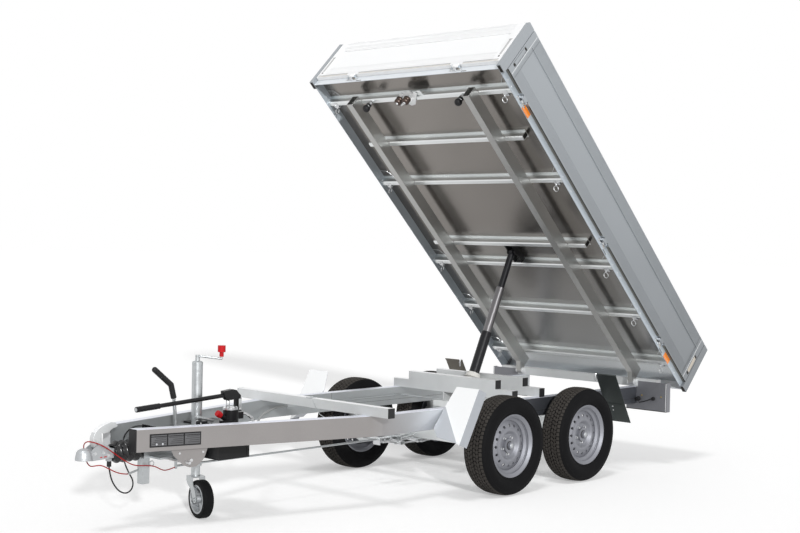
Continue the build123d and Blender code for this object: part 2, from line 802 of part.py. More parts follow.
def save_wheels():
    whole_tyre = tyre()
    whole_wheel = wheel()
    for name, x, sign in wheel_places():
        place = Pos(x, sign * WHEEL_CENTRE_Y, TYRE_R)
        metal = whole_wheel if sign > 0 else other_side(whole_wheel)
        save(f"tyre_{name}", place * whole_tyre)
        save(f"wheel_{name}", place * metal)


# ---- drawbar fittings ----
def overrun_housing():
    """Overrun body between the rails' front ends, with its prop and cable gland."""
    front = COUPLING_X - SHAFT_BACK
    body = block(
        BELLOWS_X - HOUSING_L, BELLOWS_X, -HOUSING_W / 2, HOUSING_W / 2, HOUSING_LOW, HOUSING_TOP
    )
    body += rod_x(BELLOWS_X, front, 0, COUPLING_Z, SHAFT_R)
    for sign in (-1, 1):
        x0 = BELLOWS_X - HOUSING_L + 30
        x1 = BELLOWS_X - 40
        edge = rail_y(x1, RAIL_W)
        side = sign * HOUSING_W / 2
        body += block(x0, x1, side, sign * edge, HOUSING_LOW, HOUSING_LOW + HOUSING_PLATE_T)
    body += block(
        BELLOWS_X - PROP_REAR,
        BELLOWS_X - PROP_FRONT,
        -PROP_HALF,
        PROP_HALF,
        HOUSING_LOW - PROP_L,
        HOUSING_LOW,
    )
    exit_at = Vector(*LIGHTING_POINTS[0])
    lean = (Vector(*LIGHTING_POINTS[1]) - exit_at).normalized()
    return body + limb(tuple(exit_at - lean * GLAND_L), tuple(exit_at), GLAND_R)


def bellows():
    """Folded rubber gaiter over the coupling shaft, strapped at its front."""
    folded = BELLOWS_L - BELLOWS_COLLAR_L
    pitch = folded / BELLOWS_FOLDS
    crest = BELLOWS_R
    bore = SHAFT_R + RUN_GAP
    points = [(bore, RUN_GAP)]
    for i in range(BELLOWS_FOLDS):
        y = i * pitch
        points += [
            (BELLOWS_ROOT_R, y + RUN_GAP),
            (crest - 4, y + pitch * 0.25),
            (crest, y + pitch * 0.45),
            (crest, y + pitch * 0.55),
            (crest - 4, y + pitch * 0.75),
        ]
    points += [
        (BELLOWS_COLLAR_R, folded),
        (BELLOWS_COLLAR_R, BELLOWS_L),
        (bore, BELLOWS_L),
    ]
    return Pos(BELLOWS_X, 0, COUPLING_Z) * (Rot(0, 0, -90) * turned_y(points))


def around_head(points):
    """Outline points given back from the coupling's middle and up from it."""
    return [(COUPLING_X + x, COUPLING_Z + z) for x, z in points]


def coupling_head():
    """Pressed ball coupling over a 50 mm ball, with a side plate on each side."""
    cap = turned_z(HEAD_PROFILE)
    head = Pos(COUPLING_X, 0, COUPLING_Z) * cap
    head += block(
        HEAD_REAR_X,
        COUPLING_X,
        -HEAD_CORE_HALF,
        HEAD_CORE_HALF,
        COUPLING_Z + HEAD_LOW,
        COUPLING_Z + 25,
    )
    outer = HEAD_CORE_HALF + HEAD_PLATE_T
    plate = plate_xz(around_head(SIDE_PLATE), HEAD_CORE_HALF, outer)
    for side in both_sides(plate):
        head += side
    pin = around_head([(-HANDLE_PIN_BACK, HANDLE_PIN_UP)])[0]
    head += rod_y(-outer - 2, outer + 2, pin[0], pin[1], HANDLE_PIN_R)
    plug_x = BELLOWS_X + PLUG_AHEAD
    head += block(
        HEAD_REAR_X + 2,
        plug_x + SOCKET_HALF,
        -SOCKET_HALF,
        SOCKET_HALF,
        COUPLING_Z + HEAD_LOW - 20,
        COUPLING_Z + HEAD_LOW,
    )
    shaft = rod_x(HEAD_REAR_X - 5, COUPLING_X - SHAFT_BACK, 0, COUPLING_Z, SHAFT_R)
    socket = Pos(COUPLING_X, 0, COUPLING_Z - 4) * Sphere(BALL_R + RUN_GAP)
    low = COUPLING_Z + HEAD_LOW - 6
    socket += rod_z(low, COUPLING_Z - 4, COUPLING_X, 0, BALL_R + RUN_GAP)
    return head - shaft - socket


def turned_z(points):
    """Solid turned about the Z axis from (radius, z) points."""
    face = make_face(Polyline(*[(r, 0, z) for r, z in points], close=True))
    return revolve(face, axis=Axis.Z, revolution_arc=360)


def coupling_handle():
    """Curved hand lever on a pin between the coupling's side plates."""
    handle = plate_xz(around_head(HANDLE_OUTLINE), -HANDLE_HALF, HANDLE_HALF)
    pin = around_head([(-HANDLE_PIN_BACK, HANDLE_PIN_UP)])[0]
    return handle - rod_y(-HANDLE_HALF - 1, HANDLE_HALF + 1, pin[0], pin[1], HANDLE_PIN_R + RUN_GAP)


def handbrake():
    """Round lever from the overrun body, with a black grip."""
    x = BELLOWS_X - LEVER_BACK
    foot = (x, LEVER_Y, HOUSING_TOP)
    grip, bend, tip = [(x + dx, LEVER_Y, HOUSING_TOP + up) for dx, up in LEVER_ROUTE]
    lever = limb(foot, grip, LEVER_R)
    handle = limb(grip, bend, GRIP_R) + ball(bend, GRIP_R) + limb(bend, tip, GRIP_R)
    return lever, handle + ball(tip, GRIP_R)


def limb(start, end, r):
    a = Vector(*start)
    b = Vector(*end)
    plane = Plane(origin=a, z_dir=(b - a))
    return extrude(plane * Circle(r), amount=(b - a).length)


def ball(centre, r):
    return Pos(*centre) * Sphere(r)


def jockey_clamp():
    """Plates under both rails with a cross rod, and the bridge that holds the tube."""
    middle = BELLOWS_X - CLAMP_BACK
    raised = [(x, RAIL_LOW + z) for x, z in CLAMP_OUTLINE]
    plate = along_rail(middle, RAIL_W / 2, plate_xz(raised, -CLAMP_T / 2, CLAMP_T / 2))
    clamp = plate + other_side(plate)
    rod_at = BELLOWS_X - CLAMP_ROD_BACK
    reach = rail_y(rod_at, RAIL_W / 2)
    clamp += rod_y(-reach, reach, rod_at, CLAMP_ROD_Z, CLAMP_ROD_R)
    return [clamp, clamp_bridge()]


def clamp_bridge():
    """Cross plate between the rails with a bore for the jockey tube."""
    x0 = JOCKEY_X - CLAMP_BRIDGE_REAR
    x1 = JOCKEY_X + CLAMP_BRIDGE_FRONT
    low = RAIL_LOW + 6
    edge = [
        (x0, rail_y(x0, RAIL_W)),
        (x1, rail_y(x1, RAIL_W)),
        (x1, -rail_y(x1, RAIL_W)),
        (x0, -rail_y(x0, RAIL_W)),
    ]
    bridge = plate_xy(edge, low, low + CLAMP_BRIDGE_H)
    return bridge - rod_z(low - 1, RAIL_TOP, JOCKEY_X, JOCKEY_Y, JOCKEY_TUBE_R + RUN_GAP)


def jockey_outer():
    tube = rod_z(JOCKEY_TUBE_LOW, JOCKEY_TUBE_TOP, JOCKEY_X, JOCKEY_Y, JOCKEY_TUBE_R)
    collar_top = JOCKEY_TUBE_LOW + JOCKEY_COLLAR_L
    tube += rod_z(JOCKEY_TUBE_LOW, collar_top, JOCKEY_X, JOCKEY_Y, JOCKEY_COLLAR_R)
    bore_top = JOCKEY_TUBE_TOP - 60
    bore = rod_z(JOCKEY_TUBE_LOW - 1, bore_top, JOCKEY_X, JOCKEY_Y, JOCKEY_INNER_R + RUN_GAP)
    return tube - bore


def crank_end():
    dx, dy, up = CRANK_END
    return (JOCKEY_X + dx, JOCKEY_Y + dy, JOCKEY_TUBE_TOP + up)


def jockey_crank():
    top = JOCKEY_TUBE_TOP
    start = (JOCKEY_X, JOCKEY_Y, top + CRANK_UP)
    end = crank_end()
    hub = rod_z(top, top + CRANK_UP + CRANK_R, JOCKEY_X, JOCKEY_Y, CRANK_HUB_R)
    arm = limb(start, end, CRANK_R) + ball(end, CRANK_R)
    post = limb(end, (end[0], end[1], end[2] + 2 * CRANK_R), CRANK_R)
    return hub + arm + post


def red_knobs():
    """Crank knob and the pump's release knob."""
    x, y, z = crank_end()
    low = z + 2 * CRANK_R
    neck_top = low + KNOB_NECK_H
    knob = rod_z(low, neck_top, x, y, KNOB_NECK_R) + rod_z(neck_top, low + KNOB_H, x, y, KNOB_R)
    return [knob, limb(at_pump(PUMP_VALVE[1]), at_pump(PUMP_VALVE[2]), PUMP_KNOB_R)]


def jockey_inner():
    """Sliding tube that carries the fork."""
    top = JOCKEY_TUBE_TOP - 60 - JOCKEY_TRAVEL - 20
    return rod_z(crown_top(), top, JOCKEY_X, JOCKEY_Y, JOCKEY_INNER_R)


def crown_top():
    return 2 * JOCKEY_WHEEL_R + JOCKEY_CROWN_GAP + 8


def jockey_fork():
    """Swivel fork: crown plate, two curved arms and the wheel's axle."""
    low = crown_top()
    arm_out = FORK_IN_Y + FORK_T
    crown = block(-JOCKEY_TRAIL * 0.5, 30, -arm_out, arm_out, low - 8.3, low - RUN_GAP)
    outline = [
        (-JOCKEY_TRAIL * 0.5, low - 0.3),
        (30, low - 0.3),
        (30, low - 26),
        (14, low - 48),
        (-18, low - 66),
        (-40, JOCKEY_WHEEL_R + 20),
        (-54, JOCKEY_WHEEL_R - 8),
        (-66, JOCKEY_WHEEL_R - 20),
        (-84, JOCKEY_WHEEL_R - 20),
        (-96, JOCKEY_WHEEL_R - 4),
        (-92, JOCKEY_WHEEL_R + 16),
        (-76, JOCKEY_WHEEL_R + 52),
        (-50, low - 38),
    ]
    arm = plate_xz(outline, FORK_IN_Y, arm_out)
    fork = crown
    for side in both_sides(arm):
        fork += side
    fork += rod_y(-arm_out - 4, arm_out + 4, -JOCKEY_TRAIL, JOCKEY_WHEEL_R, 8)
    return on_fork(fork)


def jockey_wheel():
    """Solid tyre on a spoked rim."""
    place = Pos(-JOCKEY_TRAIL, 0, JOCKEY_WHEEL_R)
    half = JOCKEY_WHEEL_W / 2
    tread = turned_y(
        [
            (JOCKEY_RIM_R, -half),
            (JOCKEY_WHEEL_R - 8, -half),
            (JOCKEY_WHEEL_R - 2, -half + 5),
            (JOCKEY_WHEEL_R, -half + 12),
            (JOCKEY_WHEEL_R, half - 12),
            (JOCKEY_WHEEL_R - 2, half - 5),
            (JOCKEY_WHEEL_R - 8, half),
            (JOCKEY_RIM_R, half),
        ]
    )
    rim = turned_y(
        [
            (8 + RUN_GAP, -half - 4),
            (20, -half - 4),
            (24, -9),
            (66, -9),
            (71, -half),
            (JOCKEY_RIM_R, -half),
            (JOCKEY_RIM_R, half),
            (71, half),
            (66, 9),
            (24, 9),
            (20, half + 4),
            (8 + RUN_GAP, half + 4),
        ]
    )
    for i in range(JOCKEY_SPOKES):
        opening = plate_xz([(30, 7), (30, -7), (60, -24), (64, 0), (60, 24)], -12, 12)
        rim -= Rot(0, 360 * i / JOCKEY_SPOKES, 0) * opening
    return on_fork(place * tread), on_fork(place * rim)


def at_pump(place):
    """Point in the middle plane, ahead of the pump's middle and up from its base."""
    return (PUMP_X + place[0], 0, PUMP_BASE_Z + place[1])


def hand_pump():
    """Hand pump on its oil tank between the rails."""
    shelf_low = PUMP_BASE_Z - SHELF_T
    x0 = PUMP_X - SHELF_REAR
    x1 = PUMP_X + SHELF_FRONT
    whole = block(PUMP_X - TANK_REAR, x1, -TANK_HALF, TANK_HALF, TANK_LOW, shelf_low)
    edge = rail_y(x1, RAIL_W)
    whole += block(x0, x1, -edge, edge, shelf_low, PUMP_BASE_Z)
    base_top = PUMP_BASE_Z + PUMP_BASE_H
    whole += rod_z(PUMP_BASE_Z, base_top, PUMP_X + PUMP_BASE_AHEAD, 0, PUMP_BASE_R)
    top = PUMP_BASE_Z + PUMP_BODY_H
    whole += rod_z(PUMP_BASE_Z, top, PUMP_X + PUMP_BODY_AHEAD, 0, PUMP_BODY_R)
    lug_x, lug_low, lug_high = PUMP_LUG
    lug = (PUMP_BASE_Z + lug_low, PUMP_BASE_Z + lug_high)
    whole += block(PUMP_X + lug_x, PUMP_X, -PUMP_BODY_R / 2, PUMP_BODY_R / 2, *lug)
    flange_top = top + PUMP_FLANGE_H
    whole += rod_z(top, flange_top, PUMP_X + PUMP_FLANGE_AHEAD, 0, PUMP_FLANGE_R)
    whole += limb(at_pump(PUMP_VALVE[0]), at_pump(PUMP_VALVE[1]), PUMP_VALVE_R)
    for ahead, r in (PUMP_PISTON, PUMP_GUIDE):
        whole += rod_z(flange_top, PUMP_BASE_Z + PUMP_ROD_TOP, PUMP_X + ahead, 0, r)
    rear, front, height = PUMP_LINKS
    for y in (-PUMP_LINK_Y, PUMP_LINK_Y):
        side = (y - PUMP_LINK_T / 2, y + PUMP_LINK_T / 2)
        whole += block(PUMP_X + rear, PUMP_X + front, *side, top - 10, PUMP_BASE_Z + height)
    elbow, _ = cable([at_pump(place) for place in ELBOW_ROUTE], HOSE_D)
    return whole + elbow


def pump_lever():
    """Rocker head on the pump's links, with its long round lever."""
    raised = [(PUMP_X + x, PUMP_BASE_Z + z) for x, z in ROCKER_OUTLINE]
    narrow = PUMP_HALF - ROCKER_STEP
    head = plate_xz(raised, -narrow, narrow)
    front = [(x, z) for x, z in raised if x > PUMP_X + ROCKER_FRONT]
    head += plate_xz(front, -PUMP_HALF, PUMP_HALF)
    start = Vector(*at_pump(PUMP_LEVER_START))
    end = Vector(BELLOWS_X + PUMP_LEVER_END[0], 0, PUMP_LEVER_END[1])
    grip_start = end - (end - start).normalized() * PUMP_GRIP_L
    lever = limb(tuple(start), tuple(end), PUMP_LEVER_R)
    return head + lever + limb(tuple(grip_start), tuple(end), PUMP_GRIP_R)


def hydraulic_pipe():
    """Steel pipe along the right rail's inner face, from the hose to the ram."""
    rail_face = -(RAIL_OUTER_Y - RAIL_W)
    front = PIPE_FRONT_X + PIPE_FITTING_L
    pipe = rod_x(PIPE_REAR_X, PIPE_FRONT_X, PIPE_Y, PIPE_Z, PIPE_R)
    pipe += rod_x(PIPE_FRONT_X, front, PIPE_Y, PIPE_Z, PIPE_FITTING_R)
    plate_face = -TRUNNION_PLATE_Y - TRUNNION_PLATE_T / 2
    pipe += ball((PIPE_REAR_X, PIPE_Y, PIPE_Z), PIPE_R)
    pipe += rod_y(PIPE_Y, plate_face, PIPE_REAR_X, PIPE_Z, PIPE_R)
    for x in (PIPE_FRONT_X + PIPE_FITTING_L / 2, PIPE_FRONT_X / 2 + PIPE_REAR_X / 2, PIPE_REAR_X + 60):
        pipe += block(x - 8, x + 8, rail_face, PIPE_Y, PIPE_Z - 8, PIPE_Z + 8)
    return pipe


def brake_linkage():
    """Brake rod from the overrun body to the equaliser by the front axle."""
    axle_face = WHEEL_XS[0] + AXLE_TRAIL + AXLE_BOX / 2
    x1 = axle_face + EQUALISER_AHEAD
    x0 = BELLOWS_X - BRAKE_ARM_BACK
    y = BRAKE_ROD_Y
    z = BRAKE_ROD_Z
    whole = block(x0, x0 + BRAKE_ARM_T, y - 5, y + 5, z - 15, HOUSING_LOW)
    whole += rod_x(x1, x0, y, z, BRAKE_ROD_R)
    whole += block(x1 - 10, x1 + 10, y - EQUALISER_HALF, y + EQUALISER_HALF, z - 12, z + 12)
    for step in (-50, 50):
        run = limb((axle_face - 20, y + step, AXLE_Z - 12), (x1, y + step, z), 5)
        whole += run - block(axle_face - 60, axle_face, y - 80, y + 80, AXLE_Z - 60, AXLE_Z + 60)
    return whole


def instruction_plate():
    """Plain sheet on the left rail's outer face."""
    middle = BELLOWS_X - PLATE_BACK
    sheet = block(-PLATE_L / 2, PLATE_L / 2, 0, PLATE_T, PLATE_LOW, PLATE_HIGH)
    return along_rail(middle, 0, sheet)


def lighting_plug():
    """Plug parked in the socket under the coupling head."""
    x = BELLOWS_X + PLUG_AHEAD
    top = COUPLING_Z + HEAD_LOW - 20
    return rod_z(top - PLUG_L, top, x, 0, PLUG_R)


def breakaway_hook():
    """Spring hook at the free end of the breakaway cable."""
    x, y, z = BREAKAWAY_POINTS[-1]
    far = (x - 62, y, z + 14)
    hook = limb((x, y - 8, z), (far[0], y - 8, far[2]), 3) + ball((x, y - 8, z), 3)
    hook += limb((x, y + 8, z), (far[0], y + 8, far[2]), 3) + ball((x, y + 8, z), 3)
    for end in ((x, z), (far[0], far[2])):
        hook += limb((end[0], y - 8, end[1]), (end[0], y + 8, end[1]), 3)
    for side in (-8, 8):
        hook += ball((far[0], y + side, far[2]), 3)
    tube = cable(BREAKAWAY_POINTS, BREAKAWAY_D)[0]
    return hook - tube


# ---- free and fixed cables ----
def set_back(points):
    """Route points given from the bellows' rear end, as places in the model."""
    return tuple((BELLOWS_X + x, y, z) for x, y, z in points)


HOSE_D = 14.0
HOSE_START_X = PUMP_X + ELBOW_ROUTE[-1][0]
HOSE_RUN = PIPE_FRONT_X + PIPE_FITTING_L + 0.9 - HOSE_START_X
HOSE_SIDE = ((0.08, -60, 375), (0.23, -170, 370), (0.41, -300, 410), (0.605, -400, 470))
HOSE_POINTS = (
    at_pump(ELBOW_ROUTE[-1]),
    (HOSE_START_X - 14, 0, PUMP_BASE_Z - 80),
    *[(HOSE_START_X + share * HOSE_RUN, y, z) for share, y, z in HOSE_SIDE],
    (HOSE_START_X + 0.844 * HOSE_RUN, PIPE_Y + 12, PIPE_Z),
    (HOSE_START_X + HOSE_RUN, PIPE_Y, PIPE_Z),
)
LIGHTING_D = 8.0
LIGHTING_POINTS = set_back(
    (
        (-190, 0, 481),
        (-161, 0, 517),
        (-93, 0, 527),
        (-22, 0, 548),
        (27, -12, 547),
        (51, -30, 527),
        (61, -55, 495),
        (57, -76, 432),
        (41, -76, 346),
        (18, -66, 290),
        (-1, -56, 254),
        (3, -47, 221),
        (27, -38, 197),
        (67, -27, 191),
        (119, -14, 213),
        (163, -5, 262),
        (185, 0, 312),
        (191, 0, 351.3),
    )
)
BREAKAWAY_D = 6.0
BREAKAWAY_POINTS = set_back(
    (
        (-249.9, -20, 298),
        (-185, 4, 292),
        (-121, 40, 304),
        (-61, 60, 334),
        (-6, 66, 345),
        (74, 70, 352),
        (127, 70, 376),
        (182, 60, 415),
        (230, 53, 452),
        (284, 46, 484),
        (322, 4, 498),
        (324, -34, 482),
        (311, -56, 448),
        (305, -56, 408),
        (303, -32, 376),
        (307, 2, 364),
        (303, 38, 372),
        (278, 58, 376),
        (233, 60, 352),
        (185, 56, 328),
        (141, 52, 314),
        (107, 50, 310),
    )
)
CABLES = (
    ("pump_hose", HOSE_POINTS, HOSE_D),
    ("lighting_cable", LIGHTING_POINTS, LIGHTING_D),
    ("breakaway_cable", BREAKAWAY_POINTS, BREAKAWAY_D),
)


def report_cable(name, tube, radii, diameter):
    """Print a cable's smallest bends, its length and how true its volume is."""
    length = tube.volume / (pi * diameter**2 / 4)
    print(name, "radii", [round(r) for r in radii], "length", round(length))


def cable(points, diameter):
    """Round cable on straight runs joined by tangent arcs."""
    radii = []
    for a, b, c in zip(points, points[1:], points[2:]):
        into = Vector(*b) - Vector(*a)
        out = Vector(*c) - Vector(*b)
        turn = into.get_angle(out)
        radii.append(0.45 * min(into.length, out.length) / tan(radians(turn) / 2))
    path = FilletPolyline(*points, radius=radii)
    section = Plane(origin=path @ 0, z_dir=path % 0) * Circle(diameter / 2)
    return sweep(section, path=path), radii


# ---- bed ----
def bed_frame():
    """Edge profiles of the bed: upright webs between the corner posts."""
    outer = INNER_HALF
    webs = []
    side = block(POST_L, BED_L - POST_L, outer - SHEET_T, outer, 0, FLOOR_UNDER)
    for u in SIDE_HINGES_U:
        side += side_hinge(u)
    webs += both_sides(side)
    for u, step in ((WALL_T, -1), (BED_L - WALL_T, 1)):
        web = block(u, u - step * SHEET_T, -POST_IN_Y, POST_IN_Y, 0, FLOOR_UNDER)
        for y in END_HINGES_Y:
            web += end_hinge(u, y, step)
        webs.append(web)
    return [on_bed(web) for web in webs]


def side_hinge(u):
    """Two lugs and a pin on the frame's left web, for the drop side."""
    y_pin = BED_HALF - WALL_PIN_OUT
    parts = []
    for step in (-1, 1):
        mid = u + step * (KNUCKLE_L / 2 + 1 + LUG_T / 2)
        parts.append(
            block(
                mid - LUG_T / 2,
                mid + LUG_T / 2,
                INNER_HALF,
                y_pin,
                WALL_PIN_V - KNUCKLE_R,
                WALL_PIN_V + KNUCKLE_R - 2,
            )
        )
        parts.append(rod_x(mid - LUG_T / 2, mid + LUG_T / 2, y_pin, WALL_PIN_V, KNUCKLE_R - 2))
    reach = KNUCKLE_L / 2 + 1 + LUG_T
    hinge = rod_x(u - reach, u + reach, y_pin, WALL_PIN_V, WALL_PIN_R)
    for part in parts:
        hinge += part
    return hinge


def end_hinge(u, y, step):
    """The same hinge at the bed's front or rear edge."""
    u_pin = u + step * (WALL_T - WALL_PIN_OUT)
    reach = KNUCKLE_L / 2 + 1 + LUG_T
    hinge = rod_y(y - reach, y + reach, u_pin, WALL_PIN_V, WALL_PIN_R)
    for side in (-1, 1):
        mid = y + side * (KNUCKLE_L / 2 + 1 + LUG_T / 2)
        low = min(u, u_pin)
        hinge += block(
            low,
            low + abs(u_pin - u),
            mid - LUG_T / 2,
            mid + LUG_T / 2,
            WALL_PIN_V - KNUCKLE_R,
            WALL_PIN_V + KNUCKLE_R - 2,
        )
        hinge += rod_y(mid - LUG_T / 2, mid + LUG_T / 2, u_pin, WALL_PIN_V, KNUCKLE_R - 2)
    return hinge


def bed_floor():
    edge = WALL_T + SEAT_GAP
    sheet = block(edge, BED_L - edge, -POST_IN_Y, POST_IN_Y, FLOOR_UNDER, FLOOR_TOP)
    sheet += block(POST_L, BED_L - POST_L, -INNER_HALF, INNER_HALF, FLOOR_UNDER, FLOOR_TOP)
    return on_bed(sheet)


def runners():
    """Two box runners with hinge eyes at their rear ends."""
    y0 = RUNNER_Y - RUNNER_W / 2
    y1 = RUNNER_Y + RUNNER_W / 2
    beam = block(RUNNER_REAR_U, RUNNER_FRONT_U, y0, y1, RUNNER_LOW_V, RUNNER_TOP_V)
    recess = block(
        RUNNER_FRONT_U - END_RECESS,
        RUNNER_FRONT_U + 1,
        y0 + RUNNER_WALL,
        y1 - RUNNER_WALL,
        RUNNER_LOW_V + RUNNER_WALL,
        RUNNER_TOP_V - RUNNER_WALL,
    )
    beam -= recess
    eye_in = PIVOT_Y - HINGE_EYE_W / 2
    eye_out = PIVOT_Y + HINGE_EYE_W / 2
    eye = rod_y(eye_in, eye_out, PIVOT_U, PIVOT_V, HINGE_EYE_R)
    foot = RUNNER_REAR_U + HINGE_ARM_FOOT
    arm = [
        (RUNNER_REAR_U, RUNNER_LOW_V),
        (foot, RUNNER_LOW_V),
        (PIVOT_U + HINGE_EYE_R * 0.64, PIVOT_V - HINGE_EYE_R * 0.77),
        (PIVOT_U, PIVOT_V),
        (PIVOT_U - HINGE_EYE_R * 0.17, PIVOT_V + HINGE_EYE_R * 0.98),
    ]
    eye += plate_xz(arm, eye_in, eye_out)
    pin = rod_y(0, BED_HALF, PIVOT_U, PIVOT_V, PIVOT_PIN_R + RUN_GAP)
    return both_sides(on_bed(beam + eye - pin))


def cross_members():
    """Members between runners and floor; some end in lashing rings."""
    members = []
    for u in MEMBERS_RINGED:
        members.append(member(u, INNER_HALF - SHEET_T))
    for u in MEMBERS_OPEN:
        members.append(member(u, OPEN_MEMBER_HALF))
    members[0] += catch_plate()
    return [on_bed(m) for m in members]


def catch_plate():
    """Angled plate ahead of the first member, for the catch on the front bar."""
    u = MEMBERS_RINGED[0] + MEMBER_W / 2
    outline = [
        (u, RUNNER_TOP_V + MEMBER_EDGE),
        (u + CATCH_L, RUNNER_TOP_V - CATCH_T),
        (u + CATCH_L, RUNNER_TOP_V),
        (u + CATCH_T, RUNNER_TOP_V + MEMBER_EDGE + CATCH_T),
        (u + CATCH_T, FLOOR_UNDER - MEMBER_FLANGE),
        (u, FLOOR_UNDER - MEMBER_FLANGE),
    ]
    return plate_xz(outline, -CATCH_HALF, CATCH_HALF)


def member(u, half):
    """Hat section with its flanges against the floor and softened lower edges."""
    side = MEMBER_W / 2
    foot = FLOOR_UNDER - MEMBER_FLANGE_T
    right = [
        (side - MEMBER_EDGE, RUNNER_TOP_V),
        (side, RUNNER_TOP_V + MEMBER_EDGE),
        (side, foot),
        (side + MEMBER_FLANGE, foot),
        (side + MEMBER_FLANGE, FLOOR_UNDER),
    ]
    left = [(-x, v) for x, v in reversed(right)]
    return Pos(u, 0, 0) * plate_xz(right + left, -half, half)


def corner_posts():
    """Posts at the four corners, open at the bottom."""
    posts = []
    for u in (0, BED_L - POST_L):
        post = block(u, u + POST_L, BED_HALF - POST_W, BED_HALF, 0, POST_H)
        hollow = block(u + 4, u + POST_L - 4, BED_HALF - POST_W + 4, BED_HALF - 4, -1, END_RECESS)
        posts += both_sides(on_bed(post - hollow))
    return posts


def reflectors():
    pieces = []
    high = REFLECTOR_LOW_V + REFLECTOR_H
    for u in (BED_L - REFLECTOR_FRONT_INSET, REFLECTOR_REAR_U):
        strip = block(
            u - REFLECTOR_L / 2,
            u + REFLECTOR_L / 2,
            INNER_HALF,
            INNER_HALF + REFLECTOR_T,
            REFLECTOR_LOW_V,
            high,
        )
        pieces += both_sides(on_bed(strip))
    return pieces


def buffers():
    """Tapered rubber buffers under the bed's front, one near each runner."""
    height = RUNNER_TOP_V - BUFFER_LOW_V
    shape = Cone(BUFFER_R * 0.72, BUFFER_R, height)
    rubber = Pos(BUFFER_U, BUFFER_Y, BUFFER_LOW_V + height / 2) * shape
    return both_sides(on_bed(rubber))


def ram_bracket():
    """Cheek plates under the floor for the ram's upper eye."""
    front = MEMBERS_OPEN[1] - MEMBER_W / 2
    rear = MEMBERS_RINGED[2] + MEMBER_W / 2
    y0 = EYE_W / 2 + CHEEK_GAP
    low = RUNNER_TOP_V + MEMBER_EDGE
    foot = FLOOR_UNDER - MEMBER_FLANGE_T
    outline = [
        (rear, low),
        (rear, foot),
        (rear + MEMBER_FLANGE, foot),
        (rear + MEMBER_FLANGE, FLOOR_UNDER),
        (front - MEMBER_FLANGE, FLOOR_UNDER),
        (front - MEMBER_FLANGE, foot),
        (front, foot),
        (front, low),
    ]
    cheek = plate_xz(outline, y0, y0 + CHEEK_T)
    cheek += rod_y(y0, y0 + CHEEK_T, EYE_U, EYE_V, CHEEK_R)
    stub = rod_y(y0 - STUB_L, y0, EYE_U, EYE_V, 8)
    return both_sides(on_bed(cheek + stub))


# ---- bed walls ----
def flute_heights():
    """Middles of the fine grooves in a wall's lower and upper bands."""
    first = (WALL_BOTTOM + PANEL_LOW / 2, POST_H - PANEL_HIGH / 2)
    span = (FLUTES - 1) * FLUTE_PITCH
    return [middle - span / 2 + i * FLUTE_PITCH for middle in first for i in range(FLUTES)]


def side_wall():
    """Left drop side, between the corner posts."""
    u0 = POST_L + WALL_GAP
    u1 = BED_L - POST_L - WALL_GAP
    wall = block(u0, u1, WALL_IN_Y, BED_HALF, WALL_BOTTOM, POST_H)
    wall -= block(
        u0 + PANEL_EDGE,
        u1 - PANEL_EDGE,
        BED_HALF - PANEL_DEPTH,
        BED_HALF + 1,
        WALL_BOTTOM + PANEL_LOW,
        POST_H - PANEL_HIGH,
    )
    for v in flute_heights():
        wall -= block(
            u0 + PANEL_EDGE,
            u1 - PANEL_EDGE,
            BED_HALF - FLUTE_DEPTH,
            BED_HALF + 1,
            v - FLUTE_W / 2,
            v + FLUTE_W / 2,
        )
    y_pin = BED_HALF - WALL_PIN_OUT
    for u in SIDE_HINGES_U:
        low = WALL_BOTTOM - 1
        high = WALL_BOTTOM + NOTCH_H
        wall -= block(u - NOTCH_HALF, u + NOTCH_HALF, WALL_IN_Y - 1, BED_HALF + 1, low, high)
        knuckle = rod_x(u - KNUCKLE_L / 2, u + KNUCKLE_L / 2, y_pin, WALL_PIN_V, KNUCKLE_R)
        knuckle += block(
            u - KNUCKLE_L / 2,
            u + KNUCKLE_L / 2,
            y_pin - KNUCKLE_R,
            BED_HALF,
            WALL_PIN_V,
            high,
        )
        wall += knuckle
        wall -= rod_x(u - KNUCKLE_L, u + KNUCKLE_L, y_pin, WALL_PIN_V, WALL_PIN_R + RUN_GAP)
    return on_bed(wall)


def end_wall(u_face, step):
    """Headboard or tailgate: u_face is the inner face, step the outward way."""
    half = POST_IN_Y - WALL_GAP
    u_in = u_face + step * SEAT_GAP
    u_out = u_face + step * WALL_T
    wall = block(u_in, u_out, -half, half, WALL_BOTTOM, POST_H)
    wall -= block(
        u_out - step * PANEL_DEPTH,
        u_out + step,
        -half + PANEL_EDGE,
        half - PANEL_EDGE,
        WALL_BOTTOM + PANEL_LOW,
        POST_H - PANEL_HIGH,
    )
    for v in flute_heights():
        wall -= block(
            u_out - step * FLUTE_DEPTH,
            u_out + step,
            -half + PANEL_EDGE,
            half - PANEL_EDGE,
            v - FLUTE_W / 2,
            v + FLUTE_W / 2,
        )
    u_pin = u_out - step * WALL_PIN_OUT
    for y in END_HINGES_Y:
        low = WALL_BOTTOM - 1
        high = WALL_BOTTOM + NOTCH_H
        wall -= block(u_in - step, u_out + step, y - NOTCH_HALF, y + NOTCH_HALF, low, high)
        wall += rod_y(y - KNUCKLE_L / 2, y + KNUCKLE_L / 2, u_pin, WALL_PIN_V, KNUCKLE_R)
        wall += block(
            u_pin - step * KNUCKLE_R,
            u_out,
            y - KNUCKLE_L / 2,
            y + KNUCKLE_L / 2,
            WALL_PIN_V,
            high,
        )
        wall -= rod_y(y - KNUCKLE_L, y + KNUCKLE_L, u_pin, WALL_PIN_V, WALL_PIN_R + RUN_GAP)
    return on_bed(wall)


